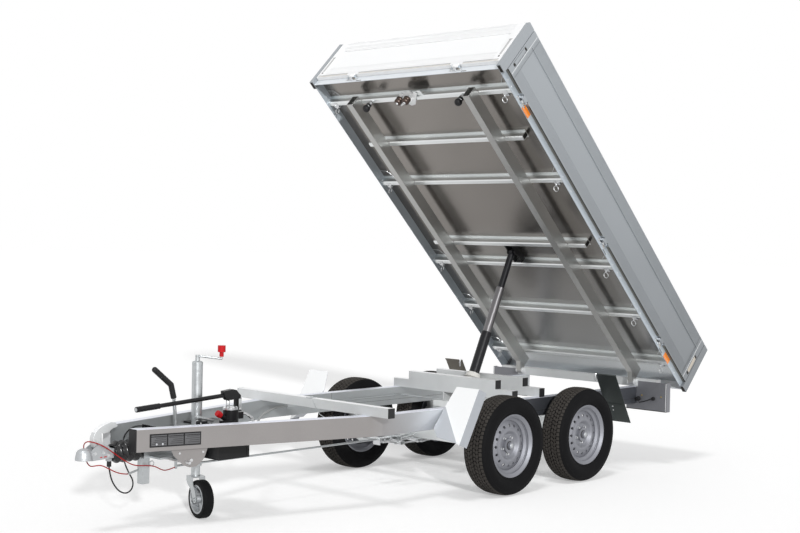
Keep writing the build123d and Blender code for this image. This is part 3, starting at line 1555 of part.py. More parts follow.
# ---- telescopic ram, in ram coordinates: trunnion at 0, rod along +Z ----
def ram_parts():
    barrel = rod_z(-BARREL_BELOW, BARREL_ABOVE, 0, 0, BARREL_R)
    cone = Pos(0, 0, BARREL_ABOVE - COLLAR_H / 2) * Cone(COLLAR_R, COLLAR_TOP_R, COLLAR_H)
    barrel += cone
    barrel -= rod_z(-BARREL_BELOW + 10, BARREL_ABOVE + 1, 0, 0, STAGE_R[0] + RUN_GAP)
    reach = TRUNNION_PLATE_Y + TRUNNION_PLATE_T / 2 + 8
    for sign in (-1, 1):
        barrel += rod_y(sign * (STAGE_R[0] + 4), sign * reach, 0, 0, TRUNNION_R)
    pieces = [on_ram(barrel)]
    top = BARREL_ABOVE
    for i, (r, stroke) in enumerate(zip(STAGE_R, STAGE_STROKE)):
        top += stroke + STAGE_STEP
        low = top - stroke - STAGE_OVERLAP - STAGE_STEP * (i + 1)
        last = i == len(STAGE_R) - 1
        if last:
            rod = rod_z(low, RAM_LENGTH - EYE_R - 6, 0, 0, r)
            rod += rod_z(low, RAM_LENGTH, 0, 0, EYE_W / 2 - 1)
            rod += rod_y(-EYE_W / 2, EYE_W / 2, 0, RAM_LENGTH, EYE_R)
        else:
            rod = rod_z(low, top, 0, 0, r)
            rod -= rod_z(low - 1, top + 1, 0, 0, STAGE_R[i + 1] + RUN_GAP)
        pieces.append(on_ram(rod))
    return pieces


def save_all():
    os.makedirs("parts", exist_ok=True)
    left_rail = rail()
    save("rail_left", left_rail)
    save("rail_right", other_side(left_rail) + hydraulic_pipe())
    save("instruction_plate", instruction_plate())
    save("front_crossbar", bar_y(FRONT_BAR_X, FRONT_BAR_HALF, RAIL_TOP))
    save("ram_bars", ram_bars())
    save("bar_end_caps", bar_caps())
    save("rear_beam", rear_beam())
    save("lamp_carriers", lamp_carriers())
    save("rear_lamps", rear_lamps())
    save("mudguards_front", front_guards())
    save("mudguards_rear", rear_guards())
    save("axle_front", axle(WHEEL_XS[0]))
    save("axle_rear", axle(WHEEL_XS[1]))
    save_wheels()
    lever, grip = handbrake()
    save("overrun_housing", overrun_housing() - lever)
    save("overrun_bellows", bellows())
    save("coupling_head", coupling_head())
    save("coupling_handle", coupling_handle())
    save("handbrake_lever", lever)
    save("handbrake_grip", grip - lever)
    save("jockey_clamp", jockey_clamp())
    save("jockey_tube", jockey_outer())
    save("jockey_crank", jockey_crank())
    save("red_knobs", red_knobs())
    save("jockey_inner", jockey_inner())
    save("jockey_fork", jockey_fork())
    rubber, rim = jockey_wheel()
    save("jockey_tyre", rubber)
    save("jockey_rim", rim)
    save("hand_pump", hand_pump())
    save("pump_lever", pump_lever())
    for name, points, diameter in CABLES:
        tube, radii = cable(points, diameter)
        report_cable(name, tube, radii, diameter)
        save(name, tube)
    save("lighting_plug", lighting_plug())
    save("breakaway_hook", breakaway_hook())
    save("brake_linkage", brake_linkage())
    save("bed_frame", bed_frame())
    save("bed_floor", bed_floor())
    save("runners", runners())
    save("cross_members", cross_members())
    save("corner_posts", corner_posts())
    save("reflectors", reflectors())
    save("buffers", buffers())
    save("ram_bracket", ram_bracket())
    left_wall = side_wall()
    save("side_left", left_wall)
    save("side_right", other_side(left_wall))
    save("headboard", end_wall(BED_L - WALL_T, 1))
    save("tailgate", end_wall(WALL_T, -1))
    barrel, first, second, third = ram_parts()
    save("ram_barrel", barrel)
    save("ram_stage_1", first)
    save("ram_stage_2", second)
    save("ram_stage_3", third)


save_all()
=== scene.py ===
import json
from math import atan2, cos, pi, radians, sin

import bmesh
import bpy
from bpy.props import FloatProperty, FloatVectorProperty, IntProperty, PointerProperty
from mathutils import Matrix, Vector


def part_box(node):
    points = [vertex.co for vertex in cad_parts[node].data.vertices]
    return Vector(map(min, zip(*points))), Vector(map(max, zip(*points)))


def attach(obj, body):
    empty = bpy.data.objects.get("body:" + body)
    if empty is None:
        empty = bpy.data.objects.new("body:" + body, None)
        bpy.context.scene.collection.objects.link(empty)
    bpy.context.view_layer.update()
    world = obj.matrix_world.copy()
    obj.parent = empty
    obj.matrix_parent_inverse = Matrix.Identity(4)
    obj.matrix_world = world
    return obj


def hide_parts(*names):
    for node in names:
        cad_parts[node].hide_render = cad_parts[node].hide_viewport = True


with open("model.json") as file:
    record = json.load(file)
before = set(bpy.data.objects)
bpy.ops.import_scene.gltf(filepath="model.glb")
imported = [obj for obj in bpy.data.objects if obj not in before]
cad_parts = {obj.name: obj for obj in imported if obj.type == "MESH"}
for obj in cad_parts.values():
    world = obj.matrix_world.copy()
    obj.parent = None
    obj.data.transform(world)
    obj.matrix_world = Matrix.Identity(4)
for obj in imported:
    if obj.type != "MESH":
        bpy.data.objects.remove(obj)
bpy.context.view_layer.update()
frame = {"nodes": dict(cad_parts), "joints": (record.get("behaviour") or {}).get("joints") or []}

bl_info = {
    "name": "Tipper Trailer",
    "version": (1, 0, 0),
    "blender": (4, 5, 0),
    "location": "View3D > Sidebar > Trailer",
    "description": "Finishes and details for a tandem-axle tipper trailer",
    "category": "Object",
}

# ---- the frame's own measures ----
NODES = frame["nodes"]
JOINTS = {joint["name"]: joint for joint in frame["joints"]}
WHEELS = ("front_left", "front_right", "rear_left", "rear_right")
MM = 0.001
UP = (0, 0, 1)
# the height of the drawbar rails' upper faces, in metres
RAIL_TOP = 0.555
# how far behind the axles' middle the floor's rear edge is, and how high
BED_BACK, BED_HEIGHT = 1.439, 0.528

# middle between the axles, in the row frame
AXLES_X = sum(JOINTS[f"wheel_{end}_left_roll"]["pos_m"][0] for end in ("front", "rear")) / 2

# the raised bed's own axes: along the floor from its rear edge, across, and off the floor
TILT = radians(-JOINTS["bed_tilt"]["range_deg"][0])
BED = (
    Matrix.Translation((AXLES_X - BED_BACK, 0, BED_HEIGHT))
    @ Matrix.Rotation(-TILT, 4, "Y")
    @ Matrix.Scale(MM, 4)
)
# the chassis' axes, from the ground between the axles, in millimetres
CHASSIS = Matrix.Translation((AXLES_X, 0, 0)) @ Matrix.Scale(MM, 4)


def rgb(name, description, default):
    return FloatVectorProperty(
        name=name, description=description, default=default, size=3, subtype="COLOR", min=0, max=1
    )


class TrailerSettings(bpy.types.PropertyGroup):
    zinc: rgb("Zinc", "Fresh hot-dip galvanised steel", (0.47, 0.49, 0.50))
    bars: rgb("Bars", "Bright galvanised cross bars", (0.63, 0.645, 0.65))
    # the floor zinc's brown tint is a painted reflection of the ground below it
    zinc_dark: rgb("Floor zinc", "Glossy zinc of the floor's underside", (0.245, 0.228, 0.212))
    beams: rgb("Members", "Stepped zinc cross members", (0.74, 0.76, 0.76))
    runner: rgb("Runners", "Grey zinc of the lengthwise runners", (0.41, 0.41, 0.40))
    # the rear guards' dark green-grey is painted shade and a painted reflection of the tyre and
    # ground
    guard_painted_shade: rgb("Rear guards", "Dull green-grey zinc", (0.080, 0.092, 0.090))
    # the panels' grey is set darker than their pale tone as painted shade, and the headboard's near
    # white is partly painted light
    panel: rgb("Panels", "Pale anodised panels of the bed", (0.345, 0.368, 0.39))
    board: rgb("Headboard", "Near white headboard", (0.86, 0.865, 0.87))
    rail: rgb("Rails", "Zinc of the drawbar rails", (0.300, 0.285, 0.280))
    rubber: rgb("Rubber", "Tyre sides, buffers and jockey tyre", (0.0055, 0.0055, 0.006))
    plastic: rgb("Plastic", "Black caps and grips", (0.016, 0.016, 0.017))
    wheel: rgb("Wheels", "Silver paint of the wheels", (0.235, 0.24, 0.265))
    signal: rgb("Knobs", "Red knobs", (0.46, 0.008, 0.012))
    amber: rgb("Reflectors", "Amber side reflectors", (0.95, 0.26, 0.02))
    edge: FloatProperty(
        name="Rolled edge", description="Radius on the sheet metal's edges", default=0.0015,
        min=0, unit="LENGTH", precision=4,
    )
    blocks: IntProperty(
        name="Tread blocks", description="Blocks round each row of the tread", default=72, min=1
    )


def settings():
    return bpy.context.scene.trailer


# ---- materials ----
class Nodes:
    """Adds shader nodes to one material and links them by name."""

    def __init__(self, name):
        self.material = bpy.data.materials.new(name)
        self.material.use_nodes = True
        self.tree = self.material.node_tree
        self.shader = self.tree.nodes["Principled BSDF"]
        self.place = self.made("TexCoord", "Object")

    def put(self, socket, value):
        """Links an output to the socket, or sets the socket to a value."""
        if hasattr(value, "is_linked"):
            self.tree.links.new(value, socket)
        else:
            socket.default_value = value

    def fill(self, node, **inputs):
        for key, value in inputs.items():
            self.put(node.inputs[key.replace("_", " ")], value)

    def feed(self, **inputs):
        self.fill(self.shader, **inputs)

    def made(self, kind, output, **inputs):
        """An output of a new node, whose inputs are filled by name."""
        node = self.tree.nodes.new("ShaderNode" + kind)
        self.fill(node, **inputs)
        return node.outputs[output]

    def axis(self, name):
        return self.made("SeparateXYZ", name, Vector=self.place)

    def stretched(self, scale, turn=(0, 0, 0)):
        return self.made("Mapping", "Vector", Scale=scale, Rotation=turn, Vector=self.place)

    def noise(self, scale, detail=3.0, rough=0.55, vector=None):
        inputs = dict(Scale=scale, Detail=detail, Roughness=rough, Vector=vector or self.place)
        return self.made("TexNoise", "Fac", **inputs)

    def cells(self, scale, output="Color", jitter=1.0):
        return self.made("TexVoronoi", output, Scale=scale, Randomness=jitter, Vector=self.place)

    def ramp(self, value, low, high, start=0.0, end=1.0):
        """Low where the value is at start, high where it is at end."""
        inputs = dict(Value=value, From_Min=start, From_Max=end, To_Min=low, To_Max=high)
        return self.made("MapRange", "Result", **inputs)

    def mix(self, factor, one, two):
        node = self.tree.nodes.new("ShaderNodeMix")
        node.data_type = "RGBA"
        one, two = (tone if hasattr(tone, "is_linked") else (*tone, 1) for tone in (one, two))
        self.fill(node, Factor=factor, A=one, B=two)
        return node.outputs["Result"]

    def shades(self, factor, colour, low, high):
        """The colour at two strengths, mixed."""
        return self.mix(factor, shade(colour, low), shade(colour, high))

    def sum(self, one, two):
        node = self.tree.nodes.new("ShaderNodeMath")
        self.put(node.inputs[0], one)
        self.put(node.inputs[1], two)
        return node.outputs[0]

    def rough(self, one, low, high, two, less, more):
        """Roughness from low to high by one texture, less or more of it by another."""
        self.feed(Roughness=self.sum(self.ramp(one, low, high), self.ramp(two, less, more)))

    def bump(self, height, strength, distance):
        inputs = dict(Strength=strength, Distance=distance, Height=height)
        self.feed(Normal=self.made("Bump", "Normal", **inputs))


def shade(colour, amount):
    return tuple(min(1.0, c * amount) for c in colour)


# each function below fills the nodes of one material
def zinc(n, colour, rough=0.34, spangle=0.096, cell=70.0, metallic=0.85):
    """Hot-dip galvanised steel: spangle crystals, milky clouds and a soft sheen."""
    flake = n.made("SeparateColor", "Red", Color=n.cells(cell))
    clouds = n.noise(4.0, 4.0, 0.6)
    tone = n.shades(clouds, colour, 0.9, 1.1)
    bright = n.shades(flake, colour, 1 - spangle, 1 + spangle)
    n.feed(Base_Color=n.mix(n.ramp(n.noise(160.0, 2.0), 0.35, 0.65), tone, bright))
    n.rough(flake, rough - 0.04, rough + 0.04, clouds, -0.06, 0.08)
    n.bump(n.sum(flake, n.noise(38.0, 3.0)), 0.06, 0.0005)
    n.feed(Metallic=metallic)


def rolled_zinc(n, colour, rough, wave, rear=None):
    """Sheet with a slight rolling wave, so that what it mirrors blurs along the sheet."""
    clouds = n.noise(2.6, 5.0, 0.62)
    grain = n.noise(60.0, 3.0, 0.6, n.stretched((0.25, 1.0, 1.0), (0, TILT, 0)))
    spots = n.noise(300.0, 2.0)
    dull = n.shades(clouds, colour, 0.88, 1.14)
    tone = n.mix(n.ramp(grain, 0.2, 0.6), dull, shade(colour, 1.04))
    if rear:
        # painted light: paler towards the bed's low rear end, and palest in its last strip
        low_end_light = n.ramp(n.axis("Z"), 0.55, 0.0, 0.80, 1.70)
        last_strip_light = n.ramp(n.axis("Z"), 1.0, 0.0, 0.70, 0.76)
        tone = n.mix(last_strip_light, n.mix(low_end_light, tone, shade(rear, 0.8)), rear)
    n.feed(Base_Color=tone, Metallic=0.95)
    n.rough(grain, rough - 0.03, rough + 0.04, clouds, -0.05, 0.07)
    n.bump(n.sum(n.noise(7.0, 2.0), n.ramp(spots, 0.0, 0.05)), wave, 0.002)


def panel_skin(n, colour, metallic, rough, foot=1.0):
    """Pale rolled panel with a faint grain along its length, darker at the bed's foot as painted
    shade.
    """
    streaks = n.noise(90.0, 2.0, 0.5, n.stretched((0.3, 1.0, 3.0), (0, TILT, 0)))
    clouds = n.noise(3.0, 4.0, 0.55)
    # painted shade: darker towards the bed's foot
    up = n.ramp(n.axis("Z"), 0.0, 1.0, 0.8, 2.6)
    tone = n.mix(up, shade(colour, foot), colour)
    n.feed(Base_Color=n.mix(n.ramp(clouds, 0.0, 0.25), tone, shade(colour, 1.1)))
    n.rough(streaks, rough - 0.05, rough + 0.06, clouds, -0.04, 0.05)
    n.bump(streaks, 0.04, 0.0003)
    n.feed(Metallic=metallic)


def rubber(n, colour, rough=0.62, dust=1.7):
    bloom = n.noise(14.0, 5.0, 0.6)
    grain = n.noise(420.0, 2.0)
    n.feed(Base_Color=n.shades(bloom, colour, 0.8, dust), Specular_IOR_Level=0.07)
    n.rough(bloom, rough - 0.1, rough + 0.1, grain, -0.04, 0.04)
    n.bump(grain, 0.18, 0.0003)


def moulded(n, colour, rough=0.42, grains=700.0, shine=0.0, gloss=0.2):
    """Moulded plastic or paint with a fine orange-peel grain."""
    grain = n.noise(grains, 2.0)
    wear = n.noise(22.0, 4.0, 0.6)
    n.feed(Base_Color=n.shades(wear, colour, 0.88, 1.15))
    n.rough(wear, rough - 0.06, rough + 0.08, grain, -0.03, 0.03)
    n.bump(grain, 0.10, 0.0003)
    n.feed(Coat_Weight=shine, Coat_Roughness=0.12, Specular_IOR_Level=gloss)


def silver_paint(n, colour):
    """Metallic silver paint with fine flakes under a thin clear coat."""
    flakes = n.noise(1500.0, 2.0, 0.7)
    dust = n.noise(12.0, 4.0, 0.6)
    n.feed(Base_Color=n.shades(dust, colour, 0.9, 1.1))
    n.rough(flakes, 0.46, 0.56, dust, -0.03, 0.05)
    n.bump(flakes, 0.05, 0.0002)
    n.feed(Metallic=0.5, Coat_Weight=0.06, Coat_Roughness=0.3)


def lens(n, colour):
    """Coloured lens with fine reflecting cells behind its face."""
    prism = n.cells(260.0, "Distance", jitter=0.0)
    n.feed(Base_Color=n.shades(prism, colour, 0.7, 1.1))
    n.bump(prism, 0.35, 0.0006)
    n.feed(Roughness=0.18, Coat_Weight=0.8, Coat_Roughness=0.05)


def polished(n, colour, rough, metallic=1.0):
    haze = n.noise(40.0, 4.0)
    rings = n.noise(220.0, 1.0, 0.5, n.stretched((0.2, 0.2, 6.0)))
    n.feed(Base_Color=n.shades(haze, colour, 0.93, 1.05), Metallic=metallic)
    n.rough(haze, rough, rough + 0.08, rings, 0.0, 0.06)


def two_part_hose(n, dark, pale, split):
    """Rubber hose near the pump that turns into zinc pipe farther back."""
    pipe = n.ramp(n.axis("X"), 1.0, 0.0, split - 0.004, split + 0.004)
    grain = n.noise(300.0, 3.0)
    n.feed(Base_Color=n.mix(pipe, dark, pale), Roughness=n.ramp(grain, 0.36, 0.48), Metallic=0.2)
    n.bump(grain, 0.08, 0.0003)


def lipped_zinc(n, colour, lip, rear=None):
    """Dull rail zinc whose upper lip is paler: a painted highlight where the light falls on it."""
    top = n.ramp(n.axis("Z"), 0.0, 1.0, RAIL_TOP - 0.0035, RAIL_TOP - 0.001)
    clouds = n.noise(5.0, 4.0, 0.6)
    fine = n.noise(170.0, 3.0)
    side = n.shades(clouds, colour, 0.93, 1.07)
    side = n.mix(n.ramp(fine, 0.0, 0.35, 0.5, 0.75), side, shade(colour, 1.18))
    if rear:
        # painted light, paler towards the rear, and painted shade, dark, behind the trailer's
        # middle
        rear_light_and_clouds = n.sum(n.ramp(n.axis("X"), 1.1, -0.1, 0.24, 0.80), n.ramp(clouds, -0.2, 0.2))
        shade_behind_middle = n.ramp(n.axis("X"), 1.0, 0.0, -0.04, 0.02)
        side = n.mix(shade_behind_middle, n.mix(rear_light_and_clouds, side, rear), (0.105, 0.112, 0.128))
    # painted highlight: the upper lip takes the lip colour
    n.feed(Base_Color=n.mix(top, side, lip), Metallic=0.75)
    n.rough(fine, 0.34, 0.43, clouds, -0.04, 0.06)
    n.bump(n.sum(fine, clouds), 0.05, 0.0005)


def two_tone(n, axis, at, low_colour, high_colour, rough=0.42, metallic=0.0):
    """Moulding or paint whose colour changes across one plane of the object."""
    high = n.ramp(n.axis(axis), 0.0, 1.0, at - 0.003, at + 0.003)
    wear = n.noise(22.0, 4.0, 0.6)
    tone = n.mix(high, low_colour, high_colour)
    worn = n.mix(high, shade(low_colour, 0.8), shade(high_colour, 0.8))
    n.feed(Base_Color=n.mix(n.ramp(wear, 0.0, 0.5), tone, worn))
    n.feed(Roughness=n.ramp(wear, rough - 0.06, rough + 0.08))
    n.bump(n.noise(500.0, 2.0), 0.08, 0.0003)
    n.feed(Metallic=metallic, Specular_IOR_Level=0.25)


def sheet_lit_by_facing(n, front, flange, axis="X", low=0.74, high=0.84, metallic=0.25):
    """Sheet whose front, which faces the axis, is painted bright as lit, and whose folded flanges
    are painted duller as shaded.
    """
    way = n.made("SeparateXYZ", axis, Vector=n.made("TexCoord", "Normal"))
    clouds = n.noise(6.0, 4.0, 0.6)
    fine = n.noise(120.0, 2.0)
    shaded_flange_tone = n.shades(clouds, flange, 0.9, 1.08)
    # painted light and shade: each face takes the lit or the shaded colour by which way it turns
    n.feed(Base_Color=n.mix(n.ramp(way, 0.0, 1.0, low, high), shaded_flange_tone, front), Metallic=metallic)
    n.rough(fine, 0.34, 0.42, clouds, -0.03, 0.05)
    n.bump(fine, 0.03, 0.0003)


def makers():
    """Each finish: its slot in the record, its function, its material's name, and its values."""
    s = settings()
    # the first is the bars' painted lit top, the last painted light on the floor's rear end
    bright, black, floor_end_light = (0.93, 0.94, 0.95), (0.012, 0.012, 0.013), (0.50, 0.52, 0.53)
    # the first is the painted highlight on the rails' upper lips, the second painted light on the
    # near rail towards its rear
    lip, rail_rear_light = (0.78, 0.80, 0.88), (0.45, 0.47, 0.50)
    # the webs' painted lit colour for upward faces, and painted shaded colour for the rest
    web, web_shaded_face = (0.74, 0.77, 0.80), (0.48, 0.53, 0.575)
    return {
        "zinc": ("galvanised", zinc, "zinc", s.zinc[:]),
        # bars: tops painted lit, brighter than their sides
        "bars": ("galvanised", sheet_lit_by_facing, "bar_zinc", bright, s.bars[:], "Z", 0.5, 0.8, 0.4),
        "beams": ("galvanised", rolled_zinc, "member_zinc", s.beams[:], 0.31, 0.03),
        "cast": ("galvanised", zinc, "cast_zinc", (0.44, 0.455, 0.47), 0.45, 0.048, 240.0, 0.6),
        "carrier": (
            "galvanised", zinc, "carrier_zinc", (0.205, 0.208, 0.225), 0.40, 0.048, 150.0, 0.55
        ),
        "web": ("galvanised", sheet_lit_by_facing, "web_sheet", web, web_shaded_face, "Z", 0.35, 0.60, 0.35),
        "bolt": ("galvanised", polished, "bolt_zinc", (0.66, 0.67, 0.68), 0.22),
        "brass": ("galvanised", polished, "yellow_zinc", (0.55, 0.42, 0.16), 0.30),
        "clear": ("galvanised", lens, "clear_lens", (0.75, 0.75, 0.74)),
        "pale": ("galvanised", panel_skin, "pale_zinc", (0.80, 0.81, 0.81), 0.1, 0.4),
        # floor: painted light, paler towards its low rear end
        "floor": (
            "galvanised_dark", rolled_zinc, "floor_zinc", s.zinc_dark[:], 0.21, 0.10, floor_end_light
        ),
        "runner": ("galvanised_dark", rolled_zinc, "runner_zinc", s.runner[:], 0.30, 0.05),
        # rear guards: the left guard's dark colour is painted shade and painted reflection
        "guard_painted_shade": (
            "galvanised_dark", two_tone, "dull_zinc", "Y", 0.0,
            (0.19, 0.175, 0.15), s.guard_painted_shade[:], 0.38, 0.6,
        ),
        # the far rail: the same zinc as the near rail, brighter as painted light, and its lip
        # colour a painted highlight
        "far_rail": (
            "frame_steel", lipped_zinc, "far_rail_zinc", (0.46, 0.48, 0.49), (0.80, 0.82, 0.88)
        ),
        "rail": ("frame_steel", lipped_zinc, "rail_zinc", s.rail[:], lip, rail_rear_light),
        # the panels darken towards the bed's foot as painted shade
        "panel": ("bed_grey", panel_skin, "panel_skin", s.panel[:], 0.35, 0.40, 0.56),
        "board": ("bed_grey", panel_skin, "board_skin", s.board[:], 0.05, 0.45),
        # painted shade of the walls' lower channel
        "channel": ("bed_grey", panel_skin, "channel_shade", (0.165, 0.160, 0.142), 0.2, 0.5),
        # guards: the front painted lit, the flanges painted in shade
        "guard": (
            "bed_grey", sheet_lit_by_facing, "guard_sheet", (0.86, 0.87, 0.875), (0.385, 0.405, 0.435)
        ),
        "latch": ("bed_grey", moulded, "latch_cover", (0.50, 0.50, 0.50), 0.5, 600.0),
        # beige of tabs and latch strips, also used for painted shade lines in the headboard's and
        # tailgate's channels
        "strip": ("bed_grey", moulded, "latch_strip", (0.46, 0.42, 0.36), 0.42, 600.0),
        "rubber": ("black_rubber", rubber, "black_rubber", s.rubber[:]),
        "cable": ("black_rubber", moulded, "cable_skin", black, 0.40, 900.0, 0.1),
        "hose": ("black_rubber", two_part_hose, "hose_skin", black, (0.33, 0.34, 0.34), 1.175),
        "gaiter": (
            "black_rubber", moulded, "gaiter_rubber", (0.008, 0.008, 0.009), 0.25, 900.0, 0.0, 0.45
        ),
        "tyre": ("tyre", rubber, "tyre_rubber", s.rubber[:], 0.70, 1.5),
        "tread": ("tyre", rubber, "tread_rubber", (0.036, 0.033, 0.030), 0.68, 1.9),
        "caps": (
            "black_plastic", two_tone, "cap_plastic", "Y", 0.0, (0.50, 0.51, 0.52), s.plastic[:]
        ),
        "plastic": ("black_plastic", moulded, "black_plastic", s.plastic[:]),
        # dark joint lines, and painted shade in holes, slots, channels and open ends, and the hub's
        # painted shadow
        "shadow": ("black_plastic", moulded, "dark_recess", (0.030, 0.028, 0.026), 0.7),
        "ink": ("black_plastic", moulded, "plate_lines", (0.045, 0.045, 0.047), 0.4),
        "blank": ("black_plastic", moulded, "plate_ink", (0.11, 0.11, 0.115), 0.35, 900.0),
        "wheel": ("wheel_silver", silver_paint, "silver_paint", s.wheel[:]),
        "pump": ("pump_black", moulded, "black_paint", (0.010, 0.010, 0.011), 0.30, 500.0, 0.08),
        "signal": ("red_plastic", moulded, "red_plastic", s.signal[:], 0.3, 500.0, 0.05),
        "red_wire": ("cable_red", moulded, "red_wire_skin", (0.30, 0.010, 0.010), 0.36, 900.0),
        "amber": ("amber", lens, "amber_lens", s.amber[:]),
        "red_lens": ("lamp_red", lens, "red_lens", (0.45, 0.01, 0.01)),
        "chrome": ("ram_chrome", polished, "ram_chrome", (0.165, 0.160, 0.165), 0.26),
        "ram": ("ram_dark", moulded, "ram_paint", (0.008, 0.008, 0.010), 0.34, 500.0, 0.02, 0.22),
        "barrel": (
            "ram_dark", two_tone, "barrel_paint", "Z", 0.691,
            (0.62, 0.61, 0.58), (0.011, 0.011, 0.013), 0.36,
        ),
        "roller": ("ram_dark", polished, "roller_steel", (0.085, 0.060, 0.050), 0.30, 0.8),
    }


MATERIALS = {}


def finish_of(key):
    """The finish's material, made once."""
    if key not in MATERIALS:
        _, fill, name, *values = makers()[key]
        nodes = Nodes(name)
        fill(nodes, *values)
        MATERIALS[key] = nodes.material
    return MATERIALS[key]


def paint(obj, key):
    obj.data.materials.clear()
    obj.data.materials.append(finish_of(key))


# ---- shaping ----
def linked(name, data):
    """A new object in the scene."""
    obj = bpy.data.objects.new(name, data)
    bpy.context.collection.objects.link(obj)
    return obj


def along(start, end):
    """Turns +Z onto the way from start to end, at start."""
    way = Vector(end) - Vector(start)
    turn = way.to_track_quat("Z", "Y").to_matrix().to_4x4()
    return Matrix.Translation(start) @ turn


def facing(place, way):
    return along(place, Vector(place) + Vector(way))


def round_edges(bm, edges, width, steps=2):
    if width:
        bmesh.ops.bevel(
            bm, geom=edges, offset=width, offset_type="OFFSET", segments=steps, profile=0.5,
            affect="EDGES", material=-1, clamp_overlap=True,
        )


class Shape:
    """One mesh under work. Every size given to it is in its own axes' units."""

    def __init__(self, axes=CHASSIS):
        self.bm = bmesh.new()
        self.axes = axes
        self.finish = 0

    def take(self, part, place=Matrix()):
        """Adds a small bmesh at that place."""
        for face in part.faces:
            face.material_index = self.finish
        part.transform(place)
        mesh = bpy.data.meshes.new("part")
        part.to_mesh(mesh)
        part.free()
        self.bm.from_mesh(mesh)
        bpy.data.meshes.remove(mesh)

    def block(self, corner, opposite, edge=1.0, place=Matrix(), steps=2):
        """A box between two opposite corners, with rounded edges."""
        part = bmesh.new()
        corner, opposite = Vector(corner), Vector(opposite)
        size = (abs(length) for length in opposite - corner)
        fit = Matrix.Translation((opposite + corner) / 2) @ Matrix.Diagonal((*size, 1))
        bmesh.ops.create_cube(part, size=1, matrix=fit)
        round_edges(part, list(part.edges), edge, steps)
        self.take(part, place)

    def rod(self, start, end, radius, tip=None, sides=20, edge=0.0, place=Matrix()):
        """A round, or with few sides a hexagonal, bar from start to end."""
        part = bmesh.new()
        way = Vector(end) - Vector(start)
        upright = along(start, end) @ Matrix.Translation((0, 0, way.length / 2))
        bmesh.ops.create_cone(
            part, cap_ends=True, segments=sides, radius1=radius,
            radius2=radius if tip is None else tip, depth=way.length, matrix=upright,
        )
        if edge:
            rims = []
            for rim in part.edges:
                one, two = rim.verts
                if abs((one.co - two.co).dot(way.normalized())) < 1e-4 * way.length:
                    rims.append(rim)
            round_edges(part, rims, edge)
        self.take(part, place)

    def spun(self, part, steps, place):
        """Spins the small bmesh's lines round Z, then adds it at that place."""
        bmesh.ops.spin(
            part, geom=[*part.verts, *part.edges], cent=(0, 0, 0), axis=UP, angle=2 * pi,
            steps=steps, use_merge=True,
        )
        bmesh.ops.remove_doubles(part, verts=list(part.verts), dist=1e-4)
        bmesh.ops.recalc_face_normals(part, faces=list(part.faces))
        self.take(part, place)

    def turned(self, profile, place=Matrix(), steps=32, closed=False):
        """A turned part: (radius, height) points spun round Z."""
        part = bmesh.new()
        points = [part.verts.new((radius, 0, height)) for radius, height in profile]
        for pair in zip(points, points[1:]):
            part.edges.new(pair)
        if closed:
            part.edges.new((points[-1], points[0]))
        self.spun(part, steps, place)

    def ring(self, centre, way, radius, wire, steps=28):
        """A round wire ring with its axis along way."""
        part = bmesh.new()
        rim = Matrix.Translation((radius, 0, 0)) @ Matrix.Rotation(pi / 2, 4, "X")
        bmesh.ops.create_circle(part, segments=8, radius=wire, matrix=rim)
        self.spun(part, steps, facing(centre, way))

    def plate(self, outline, thickness, place=Matrix(), edge=0.6):
        """A flat plate: its outline in X and Y, made thick along Z."""
        part = bmesh.new()
        face = part.faces.new([part.verts.new((x, y, 0)) for x, y in outline])
        raised = bmesh.ops.extrude_face_region(part, geom=[face])["geom"]
        lifted = [item for item in raised if isinstance(item, bmesh.types.BMVert)]
        bmesh.ops.translate(part, verts=lifted, vec=(0, 0, thickness))
        bmesh.ops.recalc_face_normals(part, faces=list(part.faces))
        round_edges(part, list(part.edges), edge)
        self.take(part, place)

    def wire(self, points, radius, sides=8):
        """A bent wire through the points, with round sections bridged from bend to bend."""
        part = bmesh.new()
        points = [Vector(point) for point in points]
        loops = []
        for i, point in enumerate(points):
            back = points[max(i - 1, 0)]
            ahead = points[min(i + 1, len(points) - 1)]
            turn = along(point, point + (ahead - back))
            made = bmesh.ops.create_circle(part, segments=sides, radius=radius, matrix=turn)
            loops.append(list({edge for vert in made["verts"] for edge in vert.link_edges}))
        for one, two in zip(loops, loops[1:]):
            bmesh.ops.bridge_loops(part, edges=one + two)
        bmesh.ops.holes_fill(part, edges=loops[0] + loops[-1], sides=0)
        bmesh.ops.recalc_face_normals(part, faces=list(part.faces))
        self.take(part)

    def bolts(self, places, way, size):
        for place in places:
            self.bolt(place, way, size)

    def bolt(self, place, way, size, height=None):
        """A hexagon bolt head on a washer, facing along way."""
        stand = facing(place, way)
        foot = size * 0.14
        top = foot + (height or size * 0.55)
        self.rod((0, 0, -0.4), (0, 0, size * 0.16), size * 1.05, edge=0.3, place=stand)
        self.rod((0, 0, foot), (0, 0, top), size * 0.82, sides=6, edge=0.5, place=stand)

    def rivet(self, place, way, radius=4.0):
        dome = ((0, 0.62), (0.5, 0.52), (0.85, 0.28))
        profile = [(radius * out, radius * up) for out, up in dome]
        profile += [(radius, 0), (radius, -0.5), (0, -0.5)]
        self.turned(profile, facing(place, way), 14)

    def done(self, name, body, *finishes, stand_for=(), crease=32.0):
        """Writes the mesh as one object that rides on a body."""
        self.bm.transform(self.axes)
        mesh = bpy.data.meshes.new(name)
        self.bm.to_mesh(mesh)
        self.bm.free()
        for key in finishes:
            mesh.materials.append(finish_of(key))
        mesh.shade_smooth()
        mesh.set_sharp_from_angle(angle=radians(crease))
        obj = linked(name, mesh)
        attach(obj, body)
        if stand_for:
            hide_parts(*stand_for)
        return obj


# ---- stage ----
EYE_HEIGHT = 1.573
EYE_AHEAD = 6.990
EYE_LEFT = 5.944
YAW = radians(223.26)
PITCH = radians(-1.17)
ROLL = radians(1.23)
LENS_MM = 61.3
WHITE = 1.0
ROOM_LIGHT = 0.41
FLOOR_LIFT = 0.30


